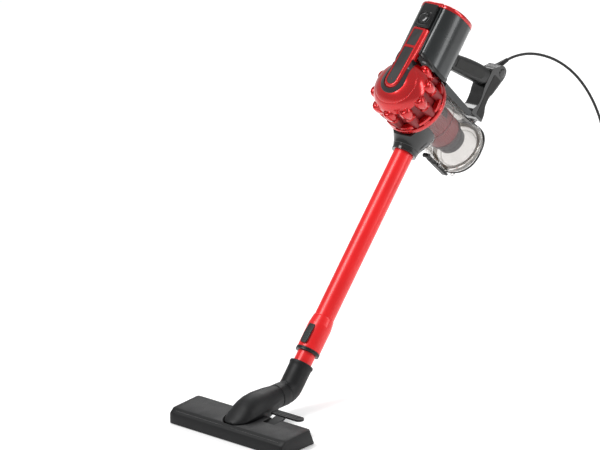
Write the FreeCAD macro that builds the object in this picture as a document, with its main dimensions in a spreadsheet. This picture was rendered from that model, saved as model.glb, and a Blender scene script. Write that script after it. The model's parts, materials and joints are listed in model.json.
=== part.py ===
"""Corded stick vacuum cleaner: hand-held motor unit with a cyclone and clear dust cup,
telescopic wand, and a floor head on a swivel elbow.  Millimetres, +Z up.  The origin is the
middle of the hand grip, the wand leans back towards +Y, and the floor head lies across X."""
import FreeCAD, Part
import math
import os
import re

import Sketcher

V = FreeCAD.Vector
ROT = FreeCAD.Rotation
PLACE = FreeCAD.Placement
SIDES = (-1, 1)

doc = FreeCAD.newDocument("stick_vacuum")
dim = doc.addObject("Spreadsheet::Sheet", "dim")

# Driving dimensions, in millimetres and degrees.  "up" is measured along the wand line from the
# neck's lower end, "back" from the wand's axis towards the rear, "ahead" towards the front.
DIMENSIONS = {
    "lean": 41.4, "gap": 0.4, "running": 0.06, "wall": 2.4,
    "grip_up": 188, "grip_back": 46, "grip_thick": 32, "grip_wide": 28,
    "cyclone_up": 83, "dome_round": 56.7, "dome_mid": 58.3, "dome_top": 115, "dome_foot": 85,
    "ring_wall": 50, "lobe_round": 11.5, "lobe_small": 7, "lobe_count": 10, "ring_foot": 36,
    "flange_rim": 58, "flange_foot": 27,
    "cup_mouth": 44, "cup_foot": 48.6, "cup_flange": 50.5, "cup_top": 30, "cup_length": 157,
    "shroud_top": 38, "shroud_foot": 30, "shroud_end": 75,
    "motor_ahead": 58, "case_half": 44, "case_front": 104, "case_rear": 12, "case_corner": 40,
    "case_top": 237, "band_tall": 8, "tongue_half": 16, "tongue_top": 190, "inlay_half": 9.5,
    "tongue_front": 119, "panel_front": 111, "button_up": 207, "button_round": 8.5,
    "neck_round": 22.5, "socket_deep": 34, "tube_round": 17.5, "tube_wall": 1.2,
    "flare_start": 322, "flare_full": 337, "flare_round": 20.7, "collar_top": 384,
    "collar_tall": 6, "inner_round": 16, "inner_top": 60, "elbow_top": 410, "bend_down": 462,
    "elbow_round": 20, "elbow_bend": 28, "neck_axis": 40, "bend_back": 121,
    "head_wide": 248, "head_deep": 84, "head_face": 19, "head_tall": 30, "sole_thick": 2.5,
    "hood_half": 27.5, "pivot_ahead": 8, "pivot_tall": 14, "pedal_pin_back": 14,
    "pedal_pin_tall": 21, "wheel_round": 7, "cord_round": 2.5, "coil_round": 30,
}
for row, (alias, value) in enumerate(DIMENSIONS.items(), 1):
    dim.set(f"A{row}", alias)
    dim.set(f"B{row}", str(value))
    dim.setAlias(f"B{row}", alias)
doc.recompute()


def size(alias):
    """A driving dimension read from the sheet."""
    return float(getattr(dim, alias))


def linked(text):
    """The expression with each alias written as the sheet's cell."""
    return re.sub(r"[a-z_]+", lambda word: f"dim.{word[0]}" if word[0] in DIMENSIONS else word[0], str(text))


def add(kind, at=(0, 0, 0), turn=None, **sizes):
    """A document object whose sizes and place are bound to the sheet."""
    item = doc.addObject(kind, kind.split("::")[1].lower())
    if turn:
        item.Placement = PLACE(V(), turn)
    for name, text in sizes.items():
        item.setExpression(name, linked(text))
    for axis, text in zip("xyz", at):
        if str(text) != "0":
            item.setExpression(f"Placement.Base.{axis}", linked(text))
    return item


ALONG = {"z": None, "y": ROT(V(1, 0, 0), -90), "x": ROT(V(0, 1, 0), 90)}


def cylinder(round_, length, at=(0, 0, 0), axis="z"):
    return add("Part::Cylinder", at, ALONG[axis], Radius=round_, Height=length)


def cone(first, last, length, at=(0, 0, 0), axis="z"):
    return add("Part::Cone", at, ALONG[axis], Radius1=first, Radius2=last, Height=length)


def block(wide, deep, tall, at):
    """A box that stands on `at`, centred across X."""
    return add("Part::Box", (f"{at[0]} - ({wide}) / 2", at[1], at[2]), Length=wide, Width=deep, Height=tall)


def ball(round_, at):
    return add("Part::Sphere", at, Radius=round_)


def joined(kind, items):
    result = doc.addObject(kind, kind.split("::")[1].lower())
    result.Shapes = items
    return result


def fuse(*items):
    return joined("Part::MultiFuse", list(items)) if len(items) > 1 else items[0]


def common(*items):
    return joined("Part::MultiCommon", list(items))


def cut(base, *tools):
    result = doc.addObject("Part::Cut", "cut")
    result.Base = base
    result.Tool = fuse(*tools)
    return result


def group(*items):
    """Separate pieces that share one sub-part."""
    result = doc.addObject("Part::Compound", "group")
    result.Links = list(items)
    return result


def rounded(item, radius, along=V(0, 0, 1)):
    """The item with its straight edges along one direction rounded."""
    doc.recompute()
    result = doc.addObject("Part::Fillet", "rounded")
    result.Base = item
    picked = []
    for number, edge in enumerate(item.Shape.Edges, 1):
        if isinstance(edge.Curve, Part.Line) and abs(abs(edge.Curve.Direction * along) - 1) < 1e-6:
            picked.append((number, radius, radius))
    result.Edges = picked
    return result


def outline_body(points, plane):
    """A body holding one closed sketch of straight lines, each corner bound to the sheet."""
    body = doc.addObject("PartDesign::Body", "body")
    sketch = body.newObject("Sketcher::SketchObject", "outline")
    origin = [item for item in body.Origin.OriginFeatures if item.Role == plane][0]
    sketch.AttachmentSupport = (origin, [""])
    sketch.MapMode = "FlatFace"
    count = len(points)
    step = 2 * math.pi / count
    guess = [V(100 * math.cos(step * k), 100 * math.sin(step * k), 0) for k in range(count)]
    for k in range(count):
        sketch.addGeometry(Part.LineSegment(guess[k], guess[(k + 1) % count]), False)
    for k in range(count):
        sketch.addConstraint(Sketcher.Constraint("Coincident", k, 2, (k + 1) % count, 1))
    for k, point in enumerate(points):
        for kind, text in zip(("DistanceX", "DistanceY"), point):
            place = guess[k].x if kind == "DistanceX" else guess[k].y
            number = sketch.addConstraint(Sketcher.Constraint(kind, -1, 1, k, 1, place))
            sketch.setExpression(f"Constraints[{number}]", linked(text))
    doc.recompute()
    return body, sketch


def turned(*points):
    """A ring or disc turned about Z from (radius, height) corners."""
    body, sketch = outline_body(points, "XZ_Plane")
    turn = body.newObject("PartDesign::Revolution", "turned")
    turn.Profile = sketch
    turn.ReferenceAxis = (sketch, ["V_Axis"])
    turn.Angle = 360
    return body


def slab(wide, *points):
    """A plate of the given width across X from (y, z) corners."""
    body, sketch = outline_body(points, "YZ_Plane")
    pad = body.newObject("PartDesign::Pad", "slab")
    pad.Profile = sketch
    pad.setExpression("Length", linked(wide))
    pad.Midplane = True
    return body


def shaped(shape):
    """A sub-part whose curved shape is worked out from the sheet in code."""
    item = doc.addObject("Part::Feature", "shaped")
    item.Shape = shape
    return item


NODES = []


def node(label, item, frame):
    """Name a sub-part and put it in its place."""
    item.Label = label
    item.Placement = frame
    NODES.append(item)
    return item


# ---- frames ------------------------------------------------------------------------------------
TILT = ROT(V(1, 0, 0), -size("lean"))
UP_WAND = TILT.multVec(V(0, 0, 1))
NECK_POINT = -TILT.multVec(V(0, size("grip_back"), size("grip_up")))
BEND_POINT = NECK_POINT - UP_WAND * size("bend_down")
SOLE_POINT = BEND_POINT - V(0, size("bend_back"), size("neck_axis"))
HAND = PLACE(NECK_POINT, TILT)
# In the cyclone's frame Z runs to the rear along the cup and Y points down the wand.
CYCLONE = HAND.multiply(PLACE(V(0, 0, size("cyclone_up")), ROT(V(1, 0, 0), -90)))
MOTOR = HAND.multiply(PLACE(V(0, -size("motor_ahead"), 0), ROT()))
HEAD = PLACE(SOLE_POINT, ROT())
CASE_DEEP = "case_front - case_rear"


def oval(middle, half_wide, half_tall, axis):
    """A closed oval round `middle`, in the plane across `axis`."""
    upright = V(0, 1, 0) if axis == "z" else V(0, 0, 1)
    points = []
    for k in range(12):
        angle = math.pi * k / 6
        across = V(1, 0, 0) * (half_wide * math.cos(angle))
        points.append(middle + across + upright * (half_tall * math.sin(angle)))
    curve = Part.BSplineCurve()
    curve.interpolate(points, PeriodicFlag=True)
    return Part.Wire([curve.toShape()])


def stadium(half, deep, low, high, start):
    """A prism along Y with a round lower end, from `low` (the round end's middle) to `high`."""
    return fuse(
        block(f"2 * ({half})", deep, f"({high}) - ({low})", (0, start, low)),
        cylinder(half, deep, (0, start, low), "y"))


# ---- hand unit: casing --------------------------------------------------------------------------
def case_prism(inset, low, tall):
    """The casing's rounded-square prism, smaller all round by `inset`."""
    prism = block(f"2 * (case_half - {inset})", f"{CASE_DEEP} - 2 * {inset}", tall, (0, f"{inset} - case_front", low))
    return rounded(prism, size("case_corner") - inset)


def ring_clearance():
    """The space round the cyclone's lobed ring."""
    return cylinder("ring_wall + lobe_round + 1", 140, (0, -135, "cyclone_up"), "y")


def button_hole(round_):
    return cylinder(round_, 12, (0, "-case_front - 8", "button_up"), "y")


def housing_shell():
    outside = case_prism(0, 118, "case_top - 118")
    inside = case_prism(size("wall"), 117, "case_top - 116")
    node("housing_shell", cut(outside, inside, ring_clearance(), button_hole(3.4)), HAND)


def housing_top():
    band = cut(case_prism(0, "case_top", "band_tall"), case_prism(4, "case_top - 1", "band_tall + 2"))
    node("housing_band", band, HAND)
    plate = case_prism(4.2, "case_top + 1", 3)
    slots = [block(56, 2.6, 6, (0, f"-motor_ahead + {7 * k} - 1.3", "case_top")) for k in range(-4, 5)]
    node("exhaust_grille", cut(plate, *slots), HAND)


def front_strip():
    """The raised tongue that runs from the dome up the casing, its inlays and the control panel."""
    def leaning(front, thick, low, high):
        shift = "(tongue_front - panel_front) / (tongue_top - cyclone_up)"
        corners = []
        for depth in (f"{front}", f"{front} + {thick}"):
            corners.append([(f"-tongue_front + {depth} + ({z} - cyclone_up) * {shift}", z) for z in (low, high)])
        return slab(60, corners[0][0], corners[0][1], corners[1][1], corners[1][0])

    tongue = common(
        slab(60, ("-tongue_front - 1", "cyclone_up - 30"), ("-tongue_front - 1", "cyclone_up"),
             ("-panel_front", "tongue_top"), ("-case_front - 0.05", "tongue_top"),
             ("-case_front - 0.05", "cyclone_up - 30")),
        stadium("tongue_half", 40, "cyclone_up", "tongue_top", "-tongue_front - 10"))
    lower = common(leaning("-1.5", 2.5, "cyclone_up - 30", 148),
                   stadium("inlay_half", 40, "cyclone_up", 148, "-tongue_front - 10"))
    upper = common(leaning("-1.5", 2.5, 153, 184),
                   block("2 * inlay_half", 40, 31, (0, "-tongue_front - 10", 153)))
    node("tongue_frame", cut(tongue, group(lower, upper)), HAND)
    node("tongue_inlays", group(lower, upper), HAND)
    panel = block("2 * tongue_half - 2", "panel_front - case_front - 0.05", "case_top - tongue_top - 2",
                  (0, "-panel_front", "tongue_top + 1"))
    seat = rounded(block(27, 3, 27, (0, "-panel_front - 1", "button_up - 13.5")), 8, V(0, 1, 0))
    node("control_panel", cut(panel, seat, button_hole(3.4)), HAND)
    bezel = cut(rounded(block(26.4, 3, 26.4, (0, "-panel_front - 1", "button_up - 13.2")), 8, V(0, 1, 0)),
                cylinder("button_round + gap", 3, (0, "-panel_front - 2", "button_up"), "y"), button_hole(3.4))
    node("button_bezel", bezel, HAND)
    button = fuse(cylinder("button_round", 3.6, (0, "-panel_front - 4.4", "button_up"), "y"),
                  cylinder(3, "panel_front - case_front + 3", (0, "-panel_front - 1", "button_up"), "y"))
    node("power_button", button, HAND)
    node("switch_block", group(block(18, 6, 12, (0, "-case_front + 4.5", "button_up - 6"))), HAND)


# ---- hand unit: cyclone --------------------------------------------------------------------------
def cyclone():
    tongue_space = block("2 * tongue_half + 0.2", 80, 20, (0, -70, "-dome_top - 6"))
    tongue_end = cylinder("tongue_half + 0.1", 20, (0, 0, "-dome_top - 6"))
    # In this frame the tongue runs from the middle towards -Y, which is up the wand.
    trim_outer = fuse(cylinder(21, 10, (0, 0, "-dome_top - 3")), block(42, 50, 10, (0, -50, "-dome_top - 3")))
    trim_inner = fuse(cylinder("tongue_half + 0.2", 12, (0, 0, "-dome_top - 4")),
                      block("2 * tongue_half + 0.4", 52, 12, (0, -51, "-dome_top - 4")))
    trim_skin = cut(ball("dome_round + 1", (0, 0, "-dome_mid")), ball("dome_round - 1", (0, 0, "-dome_mid")))
    node("dome_trim", common(cut(trim_outer, trim_inner), trim_skin), CYCLONE)
    dome = cut(ball("dome_round", (0, 0, "-dome_mid")), ball("dome_round - wall", (0, 0, "-dome_mid")),
               block(200, 200, 200, (0, -100, "-dome_foot")))
    trim_space = cut(common(cut(trim_outer, trim_inner), ball("dome_round + 1", (0, 0, "-dome_mid"))),
                     ball("dome_round - 1", (0, 0, "-dome_mid")))
    node("cyclone_dome", cut(dome, tongue_space, tongue_end, trim_space), CYCLONE)

    lobes = [cylinder("ring_wall", "dome_foot - ring_foot", (0, 0, "-dome_foot"))]
    for k in range(int(size("lobe_count"))):
        angle = 2 * math.pi * (k + 0.5) / size("lobe_count")
        at = (f"ring_wall * {math.cos(angle):.6f}", f"ring_wall * {math.sin(angle):.6f}")
        lobes.append(cone("lobe_round", "lobe_small", 38, (*at, -80)))
        lobes.append(cylinder("lobe_round", 5, (*at, "-dome_foot")))
    node("cyclone_cones", cut(fuse(*lobes), cylinder("ring_wall - 4", 60, (0, 0, "-dome_foot - 5"))), CYCLONE)
    node("cyclone_flange", turned(("cup_mouth + gap", "-ring_foot"), ("flange_rim", "-ring_foot"),
                                  ("flange_rim", "-flange_foot"), ("cup_mouth + gap", "-flange_foot")), CYCLONE)
    plate = turned((16, -44), ("ring_wall - 4.1", -44), ("ring_wall - 4.1", "-ring_foot"), (16, "-ring_foot"))
    tubes = []
    holes = []
    for k in range(int(size("lobe_count"))):
        angle = 2 * math.pi * (k + 0.5) / size("lobe_count")
        at = (f"33 * {math.cos(angle):.6f}", f"33 * {math.sin(angle):.6f}")
        tubes.append(cylinder(5, 20, (*at, -62)))
        holes.append(cylinder(3.8, 30, (*at, -63)))
    node("vortex_plate", cut(fuse(plate, *tubes), *holes), CYCLONE)
    node("shroud", turned(("shroud_foot - 1.6", "shroud_end"), ("shroud_foot", "shroud_end"), ("shroud_top", -33),
                          ("cup_mouth - 3", -33), ("cup_mouth - 3", "-ring_foot"),
                          ("shroud_top - 1.6", "-ring_foot")), CYCLONE)
    node("core_cone", turned((0, "shroud_end"), ("shroud_foot + 1", "shroud_end"), ("shroud_foot + 1", 79), (20, 98),
                             (17, 98), (27, 79), (0, 79)), CYCLONE)
    node("filter_core", turned((17, "-ring_foot"), (26, "-ring_foot"), (26, 62), (0, 62), (0, 58), (17, 58)), CYCLONE)


# ---- dust cup -------------------------------------------------------------------------------------
CUP_END = "(cup_length - cup_top)"
PIN_OUT = "(cup_foot + 5.3)"


def hinge_eye(half_from, half_to, hole):
    """Two hinge eyes (or one in the middle) round the lid's pin, tied towards the cup's axis."""
    wide = f"{half_to} - {half_from}"
    eyes = []
    for side in SIDES:
        middle = f"{side} * ({half_from} + {half_to}) / 2"
        eyes.append(cylinder(3.2, wide, (f"{middle} - ({wide}) / 2", f"-{PIN_OUT}", CUP_END), "x"))
    return eyes, cylinder(hole, 60, (-30, f"-{PIN_OUT}", CUP_END), "x")


def dust_cup():
    shell = turned(("cup_mouth - 2", "-cup_top"), ("cup_mouth", "-cup_top"), ("cup_foot", f"{CUP_END} - 7"),
                   ("cup_flange", f"{CUP_END} - 7"), ("cup_flange", f"{CUP_END} - 0.3"),
                   ("cup_foot - 2", f"{CUP_END} - 0.3"))
    eyes, hole = hinge_eye(8, 13, 1.5)
    webs = [block(5, 6, 5, (side * 10.5, f"-{PIN_OUT}", f"{CUP_END} - 5.5")) for side in SIDES]
    latch_lugs = [block(3, 6.5, 8, (side * 7.4, 47.2, 92)) for side in SIDES]
    latch_hole = cylinder(1.5, 60, (-30, 53.5, 96), "x")
    inlet = cylinder(10, 30, (0, 30, 4), "y")
    node("cup_shell", cut(shell, inlet), CYCLONE)
    lugs = cut(fuse(*eyes, *webs), hole, cylinder("cup_flange", 40, (0, 0, f"{CUP_END} - 20")))
    latch_lug = cut(fuse(*latch_lugs), latch_hole, cone("cup_mouth", "cup_foot", f"{CUP_END} - 7 + cup_top", (0, 0, "-cup_top")))
    node("cup_lugs", group(lugs, latch_lug), CYCLONE)
    node("cup_pins", group(cylinder(1.5, 26, (-13, f"-{PIN_OUT}", CUP_END), "x"),
                           cylinder(1.5, 18, (-9, 53.5, 96), "x")), CYCLONE)

    knuckle = cylinder(3.2, 15, (-7.5, f"-{PIN_OUT}", CUP_END), "x")
    arm = block(15, 8, 4, (0, f"-{PIN_OUT}", f"{CUP_END} + 1.5"))
    rim = turned(("cup_foot - 4", CUP_END), ("cup_flange", CUP_END), ("cup_flange", f"{CUP_END} + 8"),
                 ("cup_foot - 4", f"{CUP_END} + 8"))
    loop = cut(cylinder(4, 3, (14, "cup_flange - 0.5", f"{CUP_END} + 3")),
               cylinder(2.2, 5, (14.3, "cup_flange + 0.8", f"{CUP_END} + 2")))
    rim_solid = fuse(rim, knuckle, arm, loop)
    rim_hole = cylinder("1.5 + running", 60, (-30, f"-{PIN_OUT}", CUP_END), "x")
    node("lid_rim", cut(rim_solid, rim_hole), CYCLONE)
    node("lid_window", turned((0, f"{CUP_END} + 2"), ("cup_foot - 4", f"{CUP_END} + 2"),
                              ("cup_foot - 4", f"{CUP_END} + 5"), (0, f"{CUP_END} + 5")), CYCLONE)
    node("lid_seal", turned(("cup_foot - 4", f"{CUP_END} - 2.5"), ("cup_foot - 2.6", f"{CUP_END} - 2.5"),
                            ("cup_foot - 2.6", CUP_END), ("cup_foot - 4", CUP_END)), CYCLONE)
    lever = fuse(slab(10, (51.5, 62), (56, 60), (56.5, f"{CUP_END} + 6"), (51.5, f"{CUP_END} + 6")),
                 cylinder(3.4, 10, (-5, 53.5, 96), "x"), cylinder(4, 12, (-6, 54.5, 60), "x"))
    node("lid_latch", cut(lever, cylinder("1.5 + running", 60, (-30, 53.5, 96), "x"),
                          cylinder("cup_flange + gap", 40, (0, 0, f"{CUP_END} - 10"))), CYCLONE)


# ---- neck, grip, post and spine ------------------------------------------------------------------
def neck_duct():
    outer = Part.makeLoft([oval(V(0, 0, 0), size("neck_round"), size("neck_round"), "z"),
                           oval(V(0, -1, 14), 24.5, 25.5, "z"),
                           oval(V(0, -4, 36), 31, 38, "z"),
                           oval(V(0, -4, 53), 33, 44, "z")], True)
    inner = Part.makeLoft([oval(V(0, 0, size("socket_deep")), 14, 14, "z"), oval(V(0, 0, 56), 26, 30, "z")], True)
    bore = Part.makeCylinder(size("tube_round") + size("running"), size("socket_deep") + 1, V(0, 0, -1))
    ring = Part.makeCylinder(size("ring_wall") + size("lobe_round") + 1, 100,
                             V(0, -126.4, size("cyclone_up")), V(0, 1, 0))
    growth = (size("cup_foot") - size("cup_mouth")) / (size("cup_length") - 7)
    start = size("cup_top") - 26.4
    mouth = size("cup_mouth") + growth * start + size("gap")
    cup = Part.makeCone(mouth, mouth + growth * 100, 100, V(0, -26.4, size("cyclone_up")), V(0, 1, 0))
    node("neck_duct", shaped(outer.cut(inner).cut(bore).cut(ring).cut(cup)), HAND)


def screw_set():
    """Casing screws, driven in from the left side of the spine and the post."""
    places = ((20, 139.5), (60, 138), (111, 147), (111, 204))
    screws = []
    bores = []
    for back, up in places:
        screws.append(fuse(cylinder(3, 2, ("-grip_wide / 2 + 1", back, up), "x"),
                           cylinder(1.6, 14, ("-grip_wide / 2 + 3", back, up), "x")))
        bores.append(cylinder("3 + running", 3, ("-grip_wide / 2", back, up), "x"))
        bores.append(cylinder("1.6 + running", 14.5, ("-grip_wide / 2 + 3", back, up), "x"))
    return group(*screws), bores


def handle():
    screws, bores = screw_set()
    node("casing_screws", screws, HAND)
    spine = slab("grip_wide", ("-case_rear + 0.05", 131), (98, 132.8), (104, 137), (104, 143.5),
                 ("-case_rear + 0.05", 147))
    slot = block(12.8, 21, 30, (0, 79, 130))
    node("spine_bar", cut(rounded(spine, 3, V(1, 0, 0)), ring_clearance(), slot, *bores), HAND)
    node("cup_release", group(block(12, 18, 10, (0, 80.5, 136.5))), HAND)
    post = slab("grip_wide", (104.2, 141), (143, 142.5), (141, 158.7), (133.5, 169), (132, 187), (137, 195),
                (148.4, 237), (145, 249), (136, 252.5), (125, 250.5), (115, 238), (106, 232), (106, 196), (112, 179),
                (113, 163), (104.2, 149))
    caps = [cylinder(8.5, 3, (f"{side} * grip_wide / 2 - 1.5", 135, 239), "x") for side in SIDES]
    strips = cut(slab("grip_wide + 1", (118, 147), (139.5, 147), (138, 157.5), (130.5, 167.5), (129, 188), (134, 197),
                      (141.5, 227), (117, 227), (116, 200), (117.5, 164)),
                 block("grip_wide - 2", 200, 200, (0, 20, 100)))
    relief_hole = add("Part::Cylinder", (0, *RELIEF_SEAT), ROT(V(1, 0, 0), -RELIEF_LEAN), Radius=6, Height=60)
    node("rear_post", cut(rounded(post, 3, V(1, 0, 0)), strips, *caps, relief_hole, *bores), HAND)
    node("post_strips", group(strips), HAND)
    node("post_caps", group(*caps), HAND)
    grip = slab("grip_wide", ("-case_rear + 0.05", 167), (33, 179), (65, 186), (105.8, 197), (105.8, 230),
                (87, 226), (51, 218), (15, 206.5), ("-case_rear + 0.05", 197))
    pads = cut(slab("grip_wide + 1", (6, 179), (62, 193), (90, 201), (94, 208), (90, 217), (76, 217), (46, 209.5),
                    (6, 197)),
               block("grip_wide - 2", 200, 200, (0, -20, 100)))
    node("grip", cut(rounded(grip, 6, V(1, 0, 0)), pads), HAND)
    node("grip_pads", group(pads), HAND)


# ---- motor ---------------------------------------------------------------------------------------
def motor():
    node("motor_can", turned((4.2, 166), (30, 166), (34, 170), (34, 216), (30, 222), (4.2, 222)), MOTOR)
    bands = [turned((34, low), (41, low), (41, low + 6), (34, low + 6)) for low in (172, 213)]
    node("motor_mounts", group(*bands), MOTOR)
    disc = turned((4, 149), (34, 149), (34, 151), (10, 152), (10, 163), (4, 163))
    vanes = []
    for k in range(8):
        vanes.append(add("Part::Box", (0, 0, 150), ROT(V(0, 0, 1), 45 * k), Length=32, Width=1.6, Height=8))
    node("impeller", fuse(disc, cut(fuse(*vanes), cylinder(9, 20, (0, 0, 148)))), MOTOR)
    node("motor_shaft", group(cylinder(4, 78, (0, 0, 149))), MOTOR)


# ---- wand ----------------------------------------------------------------------------------------
def wand():
    bore = "tube_round - tube_wall"
    node("upper_tube", turned((bore, "-collar_top"), ("tube_round", "-collar_top"), ("tube_round", "socket_deep - 0.5"),
                              (bore, "socket_deep - 0.5")), HAND)
    node("flare_sleeve", turned(("tube_round", "-collar_top"), ("flare_round", "-collar_top"),
                                ("flare_round", "-flare_full"), ("tube_round + 0.8", "-flare_start"),
                                ("tube_round", "-flare_start")), HAND)
    node("collar_ring", turned(("inner_round + running", "-collar_top - collar_tall"),
                               ("flare_round + 0.6", "-collar_top - collar_tall"),
                               ("flare_round + 0.6", "-collar_top"), ("inner_round + running", "-collar_top")), HAND)
    slider = rounded(block(13, 4, 34, (0, "-flare_round - 4.3", "-collar_top + 6")), 3, V(0, 1, 0))
    node("lock_slider", cut(slider, cylinder("flare_round + gap", 60, (0, 0, "-collar_top"))), HAND)
    node("lower_tube", turned(("inner_round - tube_wall", "-elbow_top - 36"), ("inner_round", "-elbow_top - 36"),
                              ("inner_round", "-inner_top"), ("inner_round - tube_wall", "-inner_top")), HAND)


def elbow():
    """The swivel elbow: a socket along the wand, a bend, and a spigot into the head's neck."""
    bend = V(0, size("bend_back"), size("neck_axis"))
    half_turn = math.radians(90 - size("lean")) / 2
    tangent = size("elbow_bend") * math.tan(half_turn)
    top = bend + UP_WAND * (size("bend_down") - size("elbow_top"))
    first = bend + UP_WAND * tangent
    last = bend - V(0, tangent, 0)
    inside = (UP_WAND - V(0, 1, 0)).normalize()
    hub = bend + inside * (size("elbow_bend") / math.cos(half_turn))

    def pipe(radius, ahead):
        """A round bar through the socket leg, the bend and `ahead` of the level leg."""
        disc = Part.Face(Part.Wire([Part.Circle(last, V(0, 1, 0), radius).toShape()]))
        turn = disc.revolve(hub, V(1, 0, 0), 90 - size("lean"))
        leg = Part.makeCylinder(radius, (top - first).Length, first, UP_WAND)
        return leg.fuse(turn).fuse(Part.makeCylinder(radius, ahead, last, V(0, -1, 0))) if ahead else leg.fuse(turn)

    spigot = Part.makeCylinder(16, 22, last, V(0, -1, 0))
    socket = Part.makeCylinder(size("inner_round") + 0.02, 36.5, top, -UP_WAND)
    solid = pipe(size("elbow_round"), 0).fuse(spigot).removeSplitter()
    node("elbow_pipe", shaped(solid.cut(pipe(13.5, 22)).cut(socket)), HEAD)
    return last.y


# ---- floor head ----------------------------------------------------------------------------------
def neck_hood(seam):
    """The streamlined hood over the head, which narrows into the round neck behind it."""
    sections = ((-30, 27, 8, 3), (-12, 28, 20, 17), (12, 31, 26.5, 30), (38, 35, 27.5, 28), (66, 38.5, 24, 24),
                (88, 40, 20.4, 20.4), (seam - 0.3, 40, 20, 20))

    def hull(rings):
        return Part.makeLoft([oval(V(0, y, z), wide, tall, "y") for y, z, wide, tall in rings], True)

    inside = hull([(-14, 30, 13, 9), (12, 31, 23, 26), (38, 35, 24, 24.5), (66, 38.5, 20.5, 20.5),
                   (86, 40, 15, 15)])
    below = Part.makeBox(80, 80, 60, V(-40, -40, -48))
    bore = Part.makeCylinder(16 + size("running"), 60, V(0, 82, size("neck_axis")), V(0, 1, 0))
    node("neck_hood", shaped(hull(sections).cut(below).cut(inside).cut(bore)), HEAD)
    pins = [cylinder(3, 20, (f"{side} * 24 - 10", "-pivot_ahead", "pivot_tall"), "x") for side in SIDES]
    node("neck_pins", group(*pins), HEAD)


def floor_head():
    half = "head_deep / 2"
    outer = slab("head_wide", (f"-{half}", 1), (f"-{half}", "head_face"), (f"-{half} + 9", "head_tall - 3.5"),
                 (f"{half} - 12", "head_tall"), (half, 1))
    inner = slab("head_wide - 2 * wall", (f"-{half} + wall", 0), (f"-{half} + wall", "head_face - 1"),
                 (f"-{half} + 10", "head_tall - 6"), (f"{half} - 13.2", "head_tall - wall"), (f"{half} - wall", 0))
    opening = fuse(block("2 * hood_half + 3", 80, 40, (0, -34, 15)), block("2 * hood_half + 3", 40, 40, (0, 12, 4)))
    pedal_well = block(74, 35, 20, (67, 8, "head_tall - 11"))
    node("head_shell", cut(rounded(outer, 3, V(1, 0, 0)), inner, opening, pedal_well), HEAD)

    mouth = block(190, 18, 9, (0, -9, -3))
    slots = [block(202, 6, 9, (0, back, -3)) for back in (-33, 27)]
    pad_slots = [block(60, 6, 9, (side * 62, -22, -3)) for side in SIDES]
    wheel_slots = [block(10, 15, 9, (side * 80, 10.5, -3)) for side in SIDES]
    sole = block("head_wide - 2 * wall - 1", "head_deep - 2 * wall - 1.8", "sole_thick",
                 (0, f"-{half} + wall + 0.3", 0))
    node("sole_plate", cut(sole, mouth, *slots, *pad_slots, *wheel_slots), HEAD)
    pads = [block(60, 6, "sole_thick", (side * 62, -22, 0)) for side in SIDES]
    node("lint_pads", group(*pads), HEAD)

    blocks = []
    holes = [cylinder("3 + running", 90, (-45, "-pivot_ahead", "pivot_tall"), "x"),
             cylinder(1.5, 200, (-100, 18, 7), "x"),
             cylinder(1.5, 40, (35, "pedal_pin_back", "pedal_pin_tall"), "x")]
    for side in SIDES:
        blocks.append(block(4, 12, 17.5, (side * 33, -14, "sole_thick")))
        for across in (74, 86):
            blocks.append(block(1.6, 6, 7.5, (side * across, 15, "sole_thick")))
    for across in (38, 66):
        blocks.append(block(3, 8, 22, (across, 10, "sole_thick")))
    node("bearing_blocks", cut(fuse(*blocks), *holes), HEAD)
    pins = [cylinder(1.5, 13.6, (side * 80 - 6.8, 18, 7), "x") for side in SIDES]
    pins.append(cylinder(1.5, 31, (36.5, "pedal_pin_back", "pedal_pin_tall"), "x"))
    node("pivot_pins", group(*pins), HEAD)
    for side, name in zip(SIDES, ("wheel_left", "wheel_right")):
        wheel = turned(("1.5 + running", -4), ("wheel_round - 1", -4), ("wheel_round", -3), ("wheel_round", 3),
                       ("wheel_round - 1", 4), ("1.5 + running", 4))
        node(name, wheel, HEAD.multiply(PLACE(V(side * 80, 18, size("wheel_round")), ALONG["x"])))


def pedal_and_bristles():
    pin = ("pedal_pin_back", "pedal_pin_tall")
    hub = cylinder(4, 20, (42, *pin), "x")
    arm = common(slab(200, (13, 21), (17, 19), (44, 30.5), (44, 33.5), (13, 25)), block(20, 60, 60, (52, 0, 0)))
    plate = fuse(block(54, 18, 3, (57, 39, 30.5)), cylinder(9, 3, (84, 48, 30.5)))
    node("pedal", cut(fuse(hub, arm, plate), cylinder("1.5 + running", 60, (20, *pin), "x")), HEAD)
    bars = [block(198, 5, 3, (0, back, 5.5)) for back in (-32.5, 27.5)]
    ties = [block(5, 60, 1.7, (side * 56, -30, 6.8)) for side in SIDES]
    node("bristle_carriage", fuse(*bars, *ties), HEAD)
    rows = [block(196, 4, 4.3, (0, back, 1.2)) for back in (-32, 28)]
    node("bristle_rows", group(*rows), HEAD)


# ---- mains cord ----------------------------------------------------------------------------------
RELIEF_SEAT = (112, 222)
RELIEF_LEAN = 37.1
RELIEF_TALL = 64
RELIEF = HAND.multiply(PLACE(V(0, *RELIEF_SEAT), ROT(V(1, 0, 0), -RELIEF_LEAN)))
# The cord falls from the strain relief to the floor and runs to its coil.  The first point is the
# strain relief's tip.  Chosen by hand, in the part's own frame.
FLOOR_CORD = -494.6
ROUTE = [
    V(1, 154, -2), V(12, 192, -3), V(34, 226, -16), V(58, 253, -42), V(80, 271, -79), V(97, 283, -124),
    V(108, 289, -175), V(115, 293, -230), V(119, 293, -287), V(120, 295, -343), V(123, 293, -395),
    V(130, 294, -440), V(145, 290, -474), V(168, 288, -491), V(195, 283, FLOOR_CORD), V(222.3, 276.5, FLOOR_CORD)]
COIL = V(245, 240, SOLE_POINT.z + 1.2)
COIL_TALL = 25
COIL_HALF = 12.5
PLUG_WAY = V(0.35, -0.937, 0).normalize()


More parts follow.
